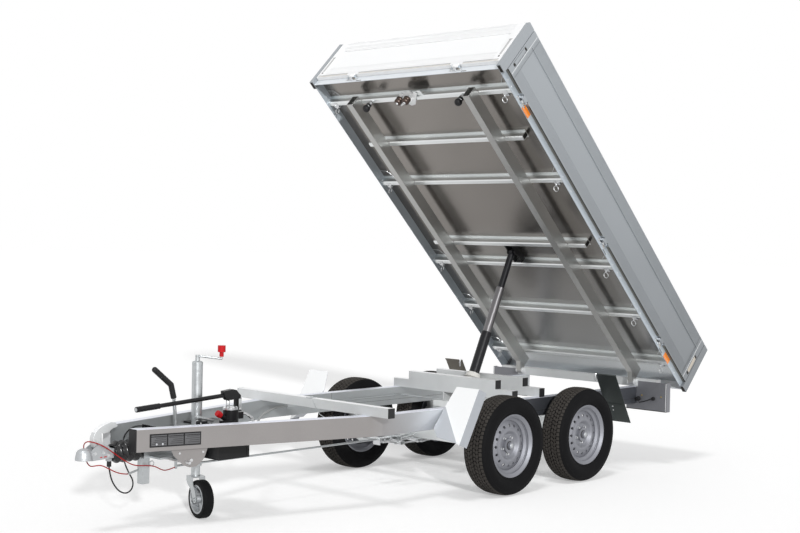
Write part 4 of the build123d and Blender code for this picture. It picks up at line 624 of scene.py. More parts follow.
def add_camera():
    ahead = Vector((cos(YAW) * cos(PITCH), sin(YAW) * cos(PITCH), sin(PITCH)))
    right = Vector((sin(YAW), -cos(YAW), 0))
    up = right.cross(ahead)
    turned_right = cos(ROLL) * right + sin(ROLL) * up
    turned_up = cos(ROLL) * up - sin(ROLL) * right
    data = bpy.data.cameras.new("camera")
    data.lens = LENS_MM
    data.sensor_width = 36
    data.clip_end = 200
    camera = linked("camera", data)
    axes = Matrix((turned_right, turned_up, -ahead)).transposed()
    place = Vector((EYE_AHEAD + AXLES_X, EYE_LEFT, EYE_HEIGHT))
    camera.matrix_world = Matrix.Translation(place) @ axes.to_4x4()
    bpy.context.scene.camera = camera


def seen_rays(tree):
    """1 for camera, glossy and transmission rays, and 0 for the rest."""
    path = tree.nodes.new("ShaderNodeLightPath")
    total = path.outputs["Is Camera Ray"]
    for ray in ("Is Glossy Ray", "Is Transmission Ray"):
        more = tree.nodes.new("ShaderNodeMath")
        more.operation = "MAXIMUM"
        tree.links.new(total, more.inputs[0])
        tree.links.new(path.outputs[ray], more.inputs[1])
        total = more.outputs[0]
    return total


def add_floor():
    bm = bmesh.new()
    bmesh.ops.create_grid(bm, x_segments=1, y_segments=1, size=90)
    mesh = bpy.data.meshes.new("floor")
    bm.to_mesh(mesh)
    bm.free()
    floor = linked("floor", mesh)
    n = Nodes("pale_floor")
    n.feed(Base_Color=(0.82, 0.82, 0.82, 1), Roughness=0.9, Specular_IOR_Level=0.0)
    glow = n.ramp(seen_rays(n.tree), 0.0, FLOOR_LIFT)
    n.feed(Emission_Color=(1, 1, 1, 1), Emission_Strength=glow)
    mesh.materials.append(n.material)


def add_sun(name, azimuth, elevation, strength, spread):
    """A sun that stands at that azimuth, from +X to +Y, and height above the ground."""
    data = bpy.data.lights.new(name, "SUN")
    data.energy = strength
    data.angle = radians(spread)
    lamp = linked(name, data)
    turn, rise = radians(azimuth), radians(elevation)
    back = Vector((cos(turn) * cos(rise), sin(turn) * cos(rise), sin(rise)))
    place = Matrix.Translation(back * 12)
    lamp.matrix_world = place @ (-back).to_track_quat("-Z", "Y").to_matrix().to_4x4()


def add_world():
    world = bpy.data.worlds.new("studio")
    bpy.context.scene.world = world
    world.use_nodes = True
    tree = world.node_tree
    back = tree.nodes["Background"]
    back.inputs["Color"].default_value = (1, 1, 1, 1)
    level = tree.nodes.new("ShaderNodeMapRange")
    level.inputs["To Min"].default_value = ROOM_LIGHT
    level.inputs["To Max"].default_value = WHITE
    tree.links.new(seen_rays(tree), level.inputs["Value"])
    tree.links.new(level.outputs["Result"], back.inputs["Strength"])


class TRAILER_OT_stage(bpy.types.Operator):
    """Adds the camera, floor and soft studio light"""

    bl_idname = "trailer.stage"
    bl_label = "Stage"

    def execute(self, context):
        context.scene.view_settings.view_transform = "Standard"
        add_camera()
        add_floor()
        add_world()
        add_sun("low_sun", 57, 17.5, 2.4, 3)
        add_sun("high_sun", 25, 62, 0.80, 12)
        return {"FINISHED"}


# ---- free cables ----
GAITER_X = 2665
LIGHTING = [
    (-190, 0, 481), (-161, 0, 517), (-93, 0, 527), (-22, 0, 548), (27, -12, 547), (51, -30, 527),
    (61, -55, 495), (57, -76, 432), (41, -76, 346), (18, -66, 290), (-1, -56, 254), (3, -47, 221),
    (27, -38, 197), (67, -27, 191), (119, -14, 213), (163, -5, 262), (185, 0, 312), (191, 0, 351.3),
]
BREAKAWAY = [
    (-249.9, -20, 298), (-185, 4, 292), (-121, 40, 304), (-61, 60, 334), (-6, 66, 345),
    (74, 70, 352), (127, 70, 376), (182, 60, 415), (230, 53, 452), (284, 46, 484), (322, 4, 498),
    (324, -34, 482), (311, -56, 448), (305, -56, 408), (303, -32, 376), (307, 2, 364),
    (303, 38, 372), (278, 58, 376), (233, 60, 352), (185, 56, 328), (141, 52, 314), (107, 50, 310),
]
LIGHTING_LENGTH, LIGHTING_WIDTH = 0.894, 0.008
BREAKAWAY_LENGTH, BREAKAWAY_WIDTH = 1.098, 0.006
# the lighting cable's ridged sleeve, above this height, and its tapering relief below it
SLEEVE_Z = 515
SLEEVE_X = (2560, 2650)
RELIEF_X = 2512


def route_points(route):
    return [CHASSIS @ Vector((x + GAITER_X, y, z)) for x, y, z in route]


def smooth_line(name, points, width):
    """One NURBS spline with the route's points as its control points."""
    curve = bpy.data.curves.new(name, "CURVE")
    curve.dimensions = "3D"
    curve.resolution_u = 10
    spline = curve.splines.new("NURBS")
    spline.points.add(len(points) - 1)
    for knot, point in zip(spline.points, points):
        knot.co = (*point, 1)
        knot.radius = width / 2
    spline.order_u = 3
    spline.use_endpoint_u = True
    curve.bevel_depth = 1
    curve.bevel_resolution = 4
    curve.use_fill_caps = True
    return linked(name, curve)


def traced(line):
    """Points along a curve object's own line, in millimetres of the chassis axes."""
    depth = line.data.bevel_depth
    line.data.bevel_depth = 0
    mesh = bpy.data.meshes.new_from_object(line)
    back = CHASSIS.inverted()
    points = [back @ vert.co for vert in mesh.vertices]
    bpy.data.meshes.remove(mesh)
    line.data.bevel_depth = depth
    return points


class TRAILER_OT_cables(bpy.types.Operator):
    """Adds the lighting cable and the red breakaway cable"""

    bl_idname = "trailer.cables"
    bl_label = "Cables"

    def execute(self, context):
        lighting = smooth_line("lighting_lead", route_points(LIGHTING), LIGHTING_WIDTH)
        paint(lighting, "cable")
        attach(lighting, "chassis")
        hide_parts("lighting_cable")

        breakaway = smooth_line("breakaway_lead", route_points(BREAKAWAY), BREAKAWAY_WIDTH)
        paint(breakaway, "red_wire")
        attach(breakaway, "chassis")
        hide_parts("breakaway_cable")

        sleeve = Shape()
        line = traced(lighting)
        covered = [p for p in line if SLEEVE_X[0] < p.x < SLEEVE_X[1] and p.z > SLEEVE_Z]
        relief = [p for p in line if p.x < RELIEF_X and p.z < SLEEVE_Z]
        for i, point in enumerate(covered[:-1]):
            way = (covered[i + 1] - point).normalized()
            sleeve.rod(point - way * 2.2, point + way * 2.2, 9.6 if i % 2 else 8.4, edge=0.8)
        steps = len(relief) - 1
        for i in range(steps):
            width = 9.0 - 4.0 * i / steps
            sleeve.rod(relief[i], relief[i + 1], width, width - 0.9, sides=16, edge=0.4)
        sleeve = sleeve.done("cable_sleeve", "chassis", "rubber")

        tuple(route_points(LIGHTING)[0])
        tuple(route_points(BREAKAWAY)[0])
        return {"FINISHED"}


# ---- finishes of the solid parts ----
FINISHES = {
    "zinc": (
        "overrun_housing jockey_tube jockey_crank jockey_inner"
        " jockey_fork brake_linkage handbrake_lever breakaway_hook"
    ),
    "bars": "front_crossbar ram_bars rear_beam coupling_handle",
    "carrier": "lamp_carriers",
    "web": "bed_frame",
    "floor": "bed_floor",
    "beams": "cross_members axle_front axle_rear",
    "runner": "runners",
    "guard_painted_shade": "mudguards_rear",
    "rail": "rail_left jockey_clamp",
    "far_rail": "rail_right",
    "panel": "corner_posts side_left side_right tailgate",
    "board": "headboard",
    "guard": "mudguards_front",
    "hose": "pump_hose",
    "rubber": "overrun_bellows jockey_tyre buffers",
    "tyre": "tyre_front_left tyre_front_right tyre_rear_left tyre_rear_right",
    "caps": "bar_end_caps",
    "barrel": "ram_barrel",
    "plastic": "handbrake_grip instruction_plate lighting_plug",
    "wheel": "wheel_front_left wheel_front_right wheel_rear_left wheel_rear_right",
    "signal": "red_knobs",
    "pump": "hand_pump pump_lever ram_bracket",
    "amber": "reflectors",
    "red_lens": "rear_lamps",
    "cast": "coupling_head jockey_rim",
    "chrome": "ram_stage_2",
    "ram": "ram_stage_1 ram_stage_3",
}
ROLLED = (
    "corner_posts side_left side_right headboard tailgate rail_left"
    " front_crossbar ram_bars rear_beam lamp_carriers mudguards_front mudguards_rear"
    " coupling_handle jockey_fork runners reflectors bar_end_caps"
)


def soften(obj, width):
    """Rolls a solid part's sharp edges, so that they catch the light."""
    weld = obj.modifiers.new("weld", "WELD")
    weld.merge_threshold = 0.00002
    bevel = obj.modifiers.new("rolled_edge", "BEVEL")
    bevel.width = width
    bevel.segments = 2
    bevel.limit_method = "ANGLE"
    bevel.angle_limit = radians(35)
    bevel.harden_normals = True


class TRAILER_OT_finishes(bpy.types.Operator):
    """Gives every solid part its finish and rolled edges"""

    bl_idname = "trailer.finishes"
    bl_label = "Finishes"

    def execute(self, context):
        for key, names in FINISHES.items():
            for name in names.split():
                paint(NODES[name], key)
        for name in ROLLED.split():
            soften(NODES[name], settings().edge)
        return {"FINISHED"}


# ---- wheels and tyres ----
WHEEL_MIDDLE_Y = 0.652
TYRE_SIDE = [
    (181, 42), (183, 57), (190, 62), (196, 69), (200, 73), (204, 75.5), (206, 77.5), (209, 78),
    (212, 77.5), (220, 83), (232, 88.5), (244, 91.6), (254, 92.2), (264, 90.8), (274, 87.4),
    (281, 84.2), (283, 84.6), (286, 83.8), (292, 78.5), (297, 75.0), (300, 70.0), (300.5, 40),
]
# each row: height across the tread, width, slant, tilt, share of a block, radius of its top
TREAD_ROWS = (
    (58.0, 20.0, 8.0, 16.0, 0.0, 303.6),
    (33.0, 16.5, -22.0, 3.0, 0.5, 306.9),
    (11.5, 14.5, 26.0, 0.0, 0.25, 307.6),
    (-11.5, 14.5, -26.0, 0.0, 0.7, 307.6),
    (-33.0, 16.5, 22.0, -3.0, 0.1, 306.9),
    (-58.0, 20.0, -8.0, -16.0, 0.6, 303.6),
)


def wheel_axes(name):
    """Millimetre axes at a wheel's middle, with Z pointing away from the trailer."""
    place = Vector(JOINTS[f"wheel_{name}_roll"]["pos_m"])
    side = 1 if name.endswith("left") else -1
    place.y = side * WHEEL_MIDDLE_Y
    turn = Matrix.Rotation(-side * pi / 2, 4, "X")
    return Matrix.Translation(place) @ turn @ Matrix.Scale(MM, 4)


def tyre_shape(axes):
    tyre = Shape(axes)
    outside = TYRE_SIDE + [(r, -h) for r, h in reversed(TYRE_SIDE)]
    inside = [(238, -70), (290, -60), (290, 60), (238, 70)]
    tyre.turned(outside + inside, steps=96, closed=True)
    tyre.finish = 1
    blocks = settings().blocks
    pitch = 2 * pi / blocks
    for height, width, slant, tilt, phase, top in TREAD_ROWS:
        lean = Matrix.Rotation(radians(-tilt), 4, "Y") @ Matrix.Rotation(radians(slant), 4, "X")
        for i in range(blocks):
            long = pitch * top * (0.86 if i % 2 else 0.76)
            turn = Matrix.Rotation(pitch * (i + phase), 4, "Z")
            place = turn @ Matrix.Translation((top, 0, height)) @ lean
            low, high = (-9.0, -long / 2, -width / 2), (0.0, long / 2, width / 2)
            tyre.block(low, high, 1.2, place, steps=1)
    return tyre


def wheel_trim(axes):
    """Rolled rim lips, the raised ring of the disc, bolts, hub cap with a dark ring of painted
    shadow round its foot, and valve.
    """
    trim = Shape(axes)
    for height, radius, wire in ((68.2, 194.0, 2.6), (57.0, 182.5, 3.4), (45.0, 172.5, 3.0)):
        trim.ring((0, 0, height), UP, radius, wire, 64)
    crest = [
        (66, 22), (72, 25), (78, 30.5), (84, 39), (89, 44.6), (94, 46.8), (99, 46.4), (106, 43.8),
        (114, 41.0), (114, 37), (96, 40), (76, 23),
    ]
    trim.turned(crest, steps=64, closed=True)
    trim.turned([(44, 24.2), (58, 24.2), (58, 22), (44, 22)], steps=40, closed=True)
    cap = [(0, 67.0), (6, 66.5), (12, 64.6), (16.5, 61.0), (19.0, 55.5), (19.8, 46), (22.5, 42.5)]
    trim.finish = 2
    trim.turned([*cap, (22.5, 41), (0, 41)], steps=32)
    # painted shadow: a dark ring round the hub cap's foot
    trim.finish = 3
    trim.ring((0, 0, 43.5), UP, 24.5, 2.4, 32)
    trim.finish = 1
    for i in range(5):
        turn = 2 * pi * (i + 0.25) / 5
        trim.bolt((54 * cos(turn), 54 * sin(turn), 24), UP, 9.0, 12.0)
    trim.rod((168, 0, 34), (168, 0, 60), 5.0, 3.5, 12, 0.8)
    return trim


class TRAILER_OT_wheels(bpy.types.Operator):
    """Adds the treaded tyres and the trim of the four wheels"""

    bl_idname = "trailer.wheels"
    bl_label = "Wheels"

    def execute(self, context):
        for name in WHEELS:
            axes, body, solid = wheel_axes(name), f"wheel_{name}", f"tyre_{name}"
            tyre = tyre_shape(axes)
            tyre.done(f"treaded_{solid}", body, "tyre", "tread", stand_for=(solid,), crease=28)
            wheel_trim(axes).done(f"wheel_trim_{name}", body, "wheel", "bolt", "cast", "shadow")
        return {"FINISHED"}


# ---- details under and round the bed, in its own axes (u along, y across, v up) ----
# members with rings, short members with open ends, and their undersides
RINGED_U = (2793.0, 2050.0, 1253.0, 776.0, 285.0)
OPEN_U = (2415.0, 1457.0)
MEMBER_LOW = 13.0
RING_Y = 735.0
# the webs' two faces, and where their rivets end in front
WEB_IN, WEB_Y = 796.0, 800.4
RIVETS_END = 2900
# the two rollers of the catch, and the tailgate's and headboard's latches
ROLLER_U = 2826
LATCH_Y = 764
HINGE_US = (500.0, 1480.0, 2700.0)
END_HINGE_Y = 450.0
# the planes that the hinges are bolted to: the webs' outsides and the front member's face
HINGE_Y = 800.0
FRONT_HINGE_U = 2979.0
# the walls' outer faces
HEADBOARD_FACE, TAILGATE_FACE = 3005.0, 0.0
WALL_Y = 826.0
DOWN = Vector((-sin(TILT), 0, -cos(TILT)))


def lashing_rings():
    """A bracket, bolt, pin and ring at both ends of the ringed cross members."""
    rings = Shape(BED)
    for u in RINGED_U:
        for side in (1, -1):
            y = side * RING_Y
            rings.block((u - 30, y - 20, MEMBER_LOW - 3), (u + 8, y + 20, MEMBER_LOW + 1), 1)
            rings.block((u - 32, y - 20, MEMBER_LOW - 3), (u - 28, y + 20, 44), 1)
            rings.bolt((u - 12, y + side * 8, MEMBER_LOW - 3), (0, 0, -1), 8.0)
            hook = Vector((u - 20, y - side * 8, MEMBER_LOW - 2))
            rings.rod(hook, hook + DOWN * 16, 4.0, edge=1)
            rings.ring(hook + DOWN * 32, (0.35, side, 0), 18.0, 2.6)
            cord = [(u + 30, y - side * 40, 58), (u + 78, y, 61), (u + 84, side * WEB_IN, 61)]
            rings.wire(cord, 1.6)
    return rings


def web_rivets():
    """Rivets on both faces of the webs, round every ringed member."""
    rivets = Shape(BED)
    for u in RINGED_U:
        for step in (-95, -48, 30, 82, 132):
            for side in (1, -1):
                if u + step < RIVETS_END:
                    rivets.rivet((u + step, side * WEB_Y, 20), (0, side, 0), 4.6)
                    rivets.rivet((u + step * 0.7, side * (WEB_IN + 0.5), 30), (0, -side, 0), 4.6)
    return rivets


def end_shade_sheets():
    """Dark sheets in the open ends of the two short members and of the corner posts: painted shade
    inside them.
    """
    ends = Shape(BED)
    for u in OPEN_U:
        for side in (1, -1):
            ends.block((u - 14, side * 669.8, 19), (u + 14, side * 670.5, 62), 0.2)
    for low_u, high_u in ((2953, 2998), (7, 52)):
        for side in (1, -1):
            ends.block((low_u, side * 801, -0.5), (high_u, side * 821, 0.6), 0.2)
    return ends


def front_buffers():
    """Rubber balls on hexagon necks, ahead of the first member."""
    buffers = Shape(BED)
    for side in (1, -1):
        middle = Vector((2788, side * 400, MEMBER_LOW - 5.5))
        stand = Matrix.Translation(middle) @ Matrix.Rotation(pi, 4, "X")
        ball = [(0, 80), (9, 79), (17, 75), (23, 67), (25, 57), (23, 47), (18, 40), (13, 37)]
        buffers.finish = 0
        buffers.turned([*ball, (0, 37)], stand, 28)
        buffers.turned([(0, 34), (17, 34), (20, 30), (20, 22), (0, 22)], stand, 6)
        buffers.finish = 1
        buffers.rod((0, 0, 0), (0, 0, 24), 15.0, sides=6, edge=1, place=stand)
        buffers.turned([(0, 38), (13.5, 38), (14.5, 36), (14.5, 33), (0, 33)], stand, 24)
    return buffers


def catch_rollers():
    """The catch under the first member: eared plate and two dark rollers."""
    catch = Shape(BED)
    middle = -52
    catch.finish = 2
    catch.plate(
        [
            (2742, -100), (2768, -100), (2840, -52), (2850, -40), (2862, -8), (2846, 6),
            (2862, 30), (2850, 84), (2834, 96), (2748, 30), (2742, -10), (2766, -34),
        ],
        3.0,
        Matrix.Translation((0, middle, 6)),
    )
    catch.finish = 0
    for y in (-24, 62):
        catch.rod((2848, middle + y, 5), (2848, middle + y, 9), 9, edge=0.5)
    for side in (1, -1):
        y = middle + side * 32
        catch.finish = 2
        catch.block((2800, y - 14, -34), (2806, y + 14, 8), 1)
        catch.finish = 0
        catch.rod((ROLLER_U, y, 6), (ROLLER_U, y, -68), 6.0, edge=1)
        stand = Matrix.Translation((ROLLER_U, y, -18)) @ Matrix.Rotation(pi, 4, "X")
        catch.finish = 1
        roller = [(0, 50), (12, 50), (21, 47), (25, 41), (25.5, 33), (22, 25), (25.5, 17)]
        catch.turned([*roller, (25, 9), (20, 3), (12, 0), (0, 0)], stand, 28)
        catch.finish = 0
        catch.rod((ROLLER_U, y, -66), (ROLLER_U, y, -71.5), 10, sides=6, edge=0.8)
    return catch


def hinge(shape, spot, strap, bolts, tab, slot):
    """One hinge by its spans along the wall; spot takes (along, out of the wall, up)."""

    def piece(span, out, up, edge):
        shape.block(*(spot(*corner) for corner in zip(span, out, up)), edge)

    way = Vector(spot(0, 1, 0)) - Vector(spot(0, 0, 0))
    shape.finish = 0
    piece(strap, (0.2, 3), (14, 31), 0.8)
    shape.bolts([spot(bolt, 3, 22) for bolt in bolts], way, 6)
    piece((-10, 10), (2, 18), (14, 30), 1.5)
    shape.finish = 1
    piece(tab, (1, 6), (24, 34), 0.8)
    # painted shade: a dark slot below the hinge
    shape.finish = 2
    piece(slot, (-0.2, 0.6), (6, 11), 0.2)


def wall_hinges(side):
    """Bright straps, beige tabs and dark slots below a side wall's three knuckles; the dark slots
    are painted shade.
    """
    hinges = Shape(BED)
    for u in HINGE_US:
        def spot(along_wall, out, up):
            return u + along_wall, side * (HINGE_Y + out), up

        hinge(hinges, spot, (-52, 44), (-40, 34), (-34, -12), (-92, -40))
    return hinges


def front_hinges():
    """The same below the headboard's two knuckles."""
    hinges = Shape(BED)
    for y in (END_HINGE_Y, -END_HINGE_Y):
        def spot(across, out, up):
            return FRONT_HINGE_U + out, y + across, up

        hinge(hinges, spot, (-52, 48), (-40, 36), (14, 34), (50, 92))
    return hinges


def wall_trim(side):
    """Latch strips and square holes at a side wall's ends, and its dark lower channel; the holes,
    the dark edge lines and the channel are painted shade.
    """
    trim = Shape(BED)

    def flat(low_u, high_u, low_v, high_v, proud):
        """A flat that stands a little proud of the wall."""
        inner, outer = side * (WALL_Y - 0.8), side * (WALL_Y + proud)
        trim.block((low_u, inner, low_v), (high_u, outer, high_v), 0.15)

    for lock, ends, wide, key in ((89, 1, 14, 0), (2916, -1, 12, 2)):
        trim.finish = key
        flat(lock - wide, lock + wide, 120, 246, 0.15)
        # painted shade: dark square holes and edge lines round the latch and along the end band
        trim.finish = 1
        flat(lock - wide, lock + wide - 3, 247, 263, 0.30)
        flat(lock - wide + 2, lock + wide - 2, 97, 116, 0.30)
        flat(lock - wide - 2.4, lock - wide - 0.6, 98, 262, 0.2)
        if key:
            flat(lock + wide + 0.6, lock + wide + 2.4, 98, 262, 0.2)
        flat(lock + 55 * ends, lock + 55 * ends + 1.2, 50, 395, 0.2)
        trim.finish = 4
        flat(lock + ends * 24, lock + ends * 24 + 3, 48, 392, 0.25)
    # painted shade of the lower channel, with a darker line at its outer edge
    trim.finish = 3
    for low_u, high_u in ((62, 445), (548, 1425), (1528, 2645), (2748, 2938)):
        trim.block((low_u, side * 800.8, 44.2), (high_u, side * 825.6, 45.2), 0.2)
    trim.finish = 1
    for low_u, high_u in ((64, 440), (560, 1420), (1540, 2640), (2760, 2936)):
        trim.block((low_u, side * 818.5, 43.4), (high_u, side * 825.4, 44.6), 0.3)
    return trim


def end_trim(face, out):
    """Latch strips, catch holes and the grooved lower channel of the headboard or tailgate; the
    dark holes and the channel's dark and beige lines are painted shade.
    """
    trim = Shape(BED)
    inner, outer = face - out * 0.8, face + out * 0.2
    for side in (1, -1):
        y = side * LATCH_Y
        trim.finish = 0
        trim.block((inner, y - 9, 104), (outer, y + 9, 245), 0.15)
        # painted shade: a dark mark above the latch and a dark round catch hole
        trim.finish = 1
        trim.block((inner, y - 12, 246), (outer, y + 12, 251), 0.15)
        trim.rod((inner, y, 90), (outer, y, 90), 7, edge=0.1)
    # the channel's dark and beige lines are painted shade of its grooves
    for low_y, high_y in ((-780, -500), (-400, 400), (500, 780)):
        trim.finish = 1
        trim.block((inner, low_y, 61), (outer, high_y, 63.5), 0.1)
        trim.finish = 2
        for v in (49, 55):
            trim.block((inner, low_y, v - 1.4), (outer, high_y, v + 1.4), 0.1)
    return trim


class TRAILER_OT_bed_details(bpy.types.Operator):
    """Adds rings, rivets, buffers, catch, hinges and latches of the bed"""

    bl_idname = "trailer.bed_details"
    bl_label = "Bed details"

    def execute(self, context):
        lashing_rings().done("lashing_rings", "bed", "bolt")
        web_rivets().done("web_rivets", "bed", "bolt")
        end_shade_sheets().done("open_end_shade", "bed", "shadow")
        front_buffers().done("ball_buffers", "bed", "plastic", "bolt", stand_for=("buffers",))
        catch_rollers().done("bed_catch", "bed", "bolt", "roller", "pale")
        for name, side in (("left", 1), ("right", -1)):
            wall_hinges(side).done(f"wall_hinges_{name}", "bed", "bolt", "strip", "shadow")
            wall_trim(side).done(
                f"wall_trim_{name}", f"side_{name}", "strip", "shadow", "panel", "channel", "pale"
            )
        front_hinges().done("front_hinges", "bed", "bolt", "strip", "shadow")
        end_trim(HEADBOARD_FACE, 1).done("headboard_trim", "headboard", "latch", "shadow", "strip")
        end_trim(TAILGATE_FACE, -1).done("tailgate_trim", "tailgate", "strip", "shadow", "strip")
        return {"FINISHED"}


# ---- drawbar details, in the chassis' axes ----
# the rails' outer faces at the bend, and in front, where they run in to the coupling
BEND_X, BEND_Y = 1353.0, 530.0
FRONT_X, FRONT_Y = 2790.0, 147.0
RAIL_SLOPE = atan2(BEND_Y - FRONT_Y, FRONT_X - BEND_X)
GAITER_BACK = (2674.0, 0, 425)
# the jockey wheel's tube, and its axle's middle and direction
JOCKEY_X, JOCKEY_Y = 2228, -73
AXLE_MIDDLE, AXLE_WAY = Vector((2243.6, 0.4, 106)), Vector((0.978, -0.208, 0))
# the pump's cylinder, and both ends of its lever and of its release knob
PUMP_X = 2046
LEVER = Vector((2064, 0, 673)), Vector((2691, 0, 636))
KNOB = Vector((2118, 0, 561)), Vector((2141, 0, 576))


def gaiter():
    """Folded rubber gaiter between the housing and the coupling."""
    shape = Shape()
    folds, pitch = 4, 40.0
    points = [(46, 0)]
    for i in range(folds * 8 + 1):
        swell = (0.5 - 0.5 * cos(i / 8 * 2 * pi)) ** 0.7
        points.append((43 + 16.4 * swell, 1 + pitch * i / 8))
    front = folds * pitch
    points += [(45.5, front + 3), (46, front + 8), (44, front + 10.5), (36, front + 10.5)]
    points += [(36, 150), (38, 4), (38, 0)]
    place = Matrix.Translation(GAITER_BACK) @ Matrix.Rotation(pi / 2, 4, "Y")
    shape.turned(points, place, 48, closed=True)
    return shape


def rail_side(x):
    """How far out the left rail's outer face is at x."""
    share = max(0.0, (x - BEND_X) / (FRONT_X - BEND_X))
    return BEND_Y - share * (BEND_Y - FRONT_Y)


def instruction_panels():
    """Three blank grey panels on the black plate, and two bolt heads."""
    low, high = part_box("instruction_plate")
    middle = CHASSIS.inverted() @ ((low + high) / 2)
    axes = Matrix.Translation(middle) @ Matrix.Rotation(-RAIL_SLOPE, 4, "Z")
    shape = Shape(CHASSIS @ axes)
    for i in range(3):
        left = -138 + i * 94
        shape.finish = 0
        shape.block((left, 0.9, -28), (left + 86, 1.45, 18), 0.3)
        shape.block((left, 0.9, 22), (left + 86, 1.45, 28), 0.3)
        shape.finish = 1
        for row in range(4):
            wide = (70, 78, 56, 64)[(row + i) % 4]
            top = 14 - row * 10
            shape.block((left + 4, 1.3, top - 3), (left + 4 + wide, 1.6, top), 0.1)
    shape.finish = 2
    shape.bolts([(x, 1.4, -20) for x in (72, 106)], (0, 1, 0), 5.5)
    return shape


def coupling_bolts():
    shape = Shape()
    for x, z in ((2965, 434), (2883, 420), (2913, 434)):
        for side in (1, -1):
            shape.bolt((x, side * 34, z), (0, side, 0), 9)
    shape.rod((2936, -24, 472), (2936, 24, 472), 6.0, edge=1)
    for side in (1, -1):
        shape.bolt((2936, side * 21, 472), (0, side, 0), 9)
    shape.ring((2602, 26, 345), (0, 1, 0.1), 13, 3)
    shape.wire([(2630, -24, 372), (2618, -26, 352), (2602, -26, 344), (2588, -26, 352)], 3.0)
    return shape


def red_marks():
    """Small red wear markers on the coupling and a red dot on the housing."""
    shape = Shape()
    shape.block((2894, 33.6, 409), (2912, 35.2, 414), 0.4)
    shape.block((2922, 33.6, 409), (2934, 35.2, 414), 0.4)
    shape.rod((2620, 43, 452), (2620, 44.6, 452), 5, edge=0.4)
    return shape


def jockey_details():
    shape = Shape()
    x, y = JOCKEY_X, JOCKEY_Y
    # the tube's cap, a bolt on the crank, and two collars
    cap = [(0, 868), (14, 868), (24, 866), (30.6, 861), (30.6, 846), (29, 846), (0, 846)]
    shape.turned(cap, Matrix.Translation((x, y, 0)), 32)
    shape.bolt((x + 12, y + 6, 893), (0.9, 0.4, 0), 4)
    shape.ring((x, y, 640), UP, 30.4, 1.2, 32)
    shape.ring((x, y, 300), UP, 32.5, 2.2, 32)
    # clamp lever over its dark catch
    shape.rod((2264, -12, 561), (2158, -12, 532), 9.0, 7.0, 16, 2)
    shape.rod((2262, -12, 560), (2258, -44, 556), 9.0, 9.0, 16, 2)
    shape.finish = 1
    shape.block((2196, -44, 506), (2256, -12, 536), 4)
    shape.block((2166, -26, 508), (2198, -8, 524), 3)
    shape.finish = 2
    shape.bolts(((2246, -10, 524), (2184, -10, 517)), (0.3, 1, 0), 5)
    return shape


def fork_bolts():
    shape = Shape()
    for way in (AXLE_WAY, -AXLE_WAY):
        shape.bolt(AXLE_MIDDLE + way * 42.0, way, 11)
    return shape


def clamp_bolts():
    shape = Shape()
    low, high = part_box("jockey_clamp")
    for side in (1, -1):
        way = Vector((sin(RAIL_SLOPE), side * cos(RAIL_SLOPE), 0))
        for x, z in ((2483, 372), (2418, 412), (2548, 412)):
            base = Vector((x, side * rail_side(x), z))
            shape.bolt(base - way * 29, way, 11 if z < 400 else 8)
    shape.rod((2502, -226, 362), (2502, 226, 362), 9.0, sides=6, edge=1)
    return shape


def pump_details():
    """Bolted flange, links, silver elbow, tank cap, straps and plug, and the lever's end."""
    shape = Shape()
    flange = [(0, 603), (40, 603), (43, 601), (43, 589), (40, 587), (0, 587)]
    shape.turned(flange, Matrix.Translation((PUMP_X, 0, 0)), 40)
    for i in range(6):
        turn = 2 * pi * (i + 0.4) / 6
        shape.bolt((PUMP_X + 34 * cos(turn), 34 * sin(turn), 603), UP, 5.5)
    shape.rod((2065, 0, 600), (2065, 0, 640), 10.6, edge=1)
    for side in (1, -1):
        shape.block((1979.5, side * 18.2 - 1.6, 584), (2000.5, side * 18.2 + 1.6, 648), 1.2)
        shape.bolts([(1990, side * 19.6, z) for z in (640, 590)], (0, side, 0), 6)
    elbow = [(1972, 0, 562), (1950, 0, 561), (1932, 0, 556), (1906, 0, 542), (1882, 0, 524)]
    shape.wire([*elbow, (1876, 0, 508)], 8.0, 16)
    shape.rod((1979, 0, 562), (1958, 0, 562), 12.5, sides=6, edge=1)
    shape.rod((1892, 0, 533), (1880, 0, 520), 11.5, sides=6, edge=1)
    shape.finish = 1
    stand = Matrix.Translation((2150, 75.5, 440)) @ Matrix.Rotation(-pi / 2, 4, "X")
    shape.turned([(0, 5), (11, 5), (14, 3), (15, 0), (15, -2), (0, -2)], stand, 24)
    shape.finish = 2
    # the tank's straps and filler plug
    shape.block((2010, -76, 500), (2030, 76, 513), 1.5)
    shape.block((1978, 70, 330), (1984, 77, 490), 1.0)
    shape.rod((2112, 30, 508), (2112, 30, 520), 12, sides=6, edge=1)
    shape.finish = 3
    shape.rod((2692.4, 0, 636), (2690, 0, 636.2), 10.5, sides=18)
    return shape


def pump_knob():
    """Ridges round the red release knob."""
    shape = Shape()
    start, end = KNOB
    top = (end - start).length - 2
    for i in range(14):
        turn = 2 * pi * i / 14
        x, y = 16.6 * cos(turn), 16.6 * sin(turn)
        shape.rod((x, y, 2), (x, y, top), 1.8, sides=8, place=along(start, end))
    return shape


def grip_ribs():
    """Ribs on the pump lever's grip."""
    shape = Shape()
    start, end = LEVER
    way = (end - start).normalized()
    for i in range(14):
        shape.ring(end - way * (8 + 9.5 * i), way, 14.9, 1.1, 24)
    neck = end - way * 152
    shape.rod(neck, neck + way * 8, 15.6, 15.6, 24, 1.5)
    return shape


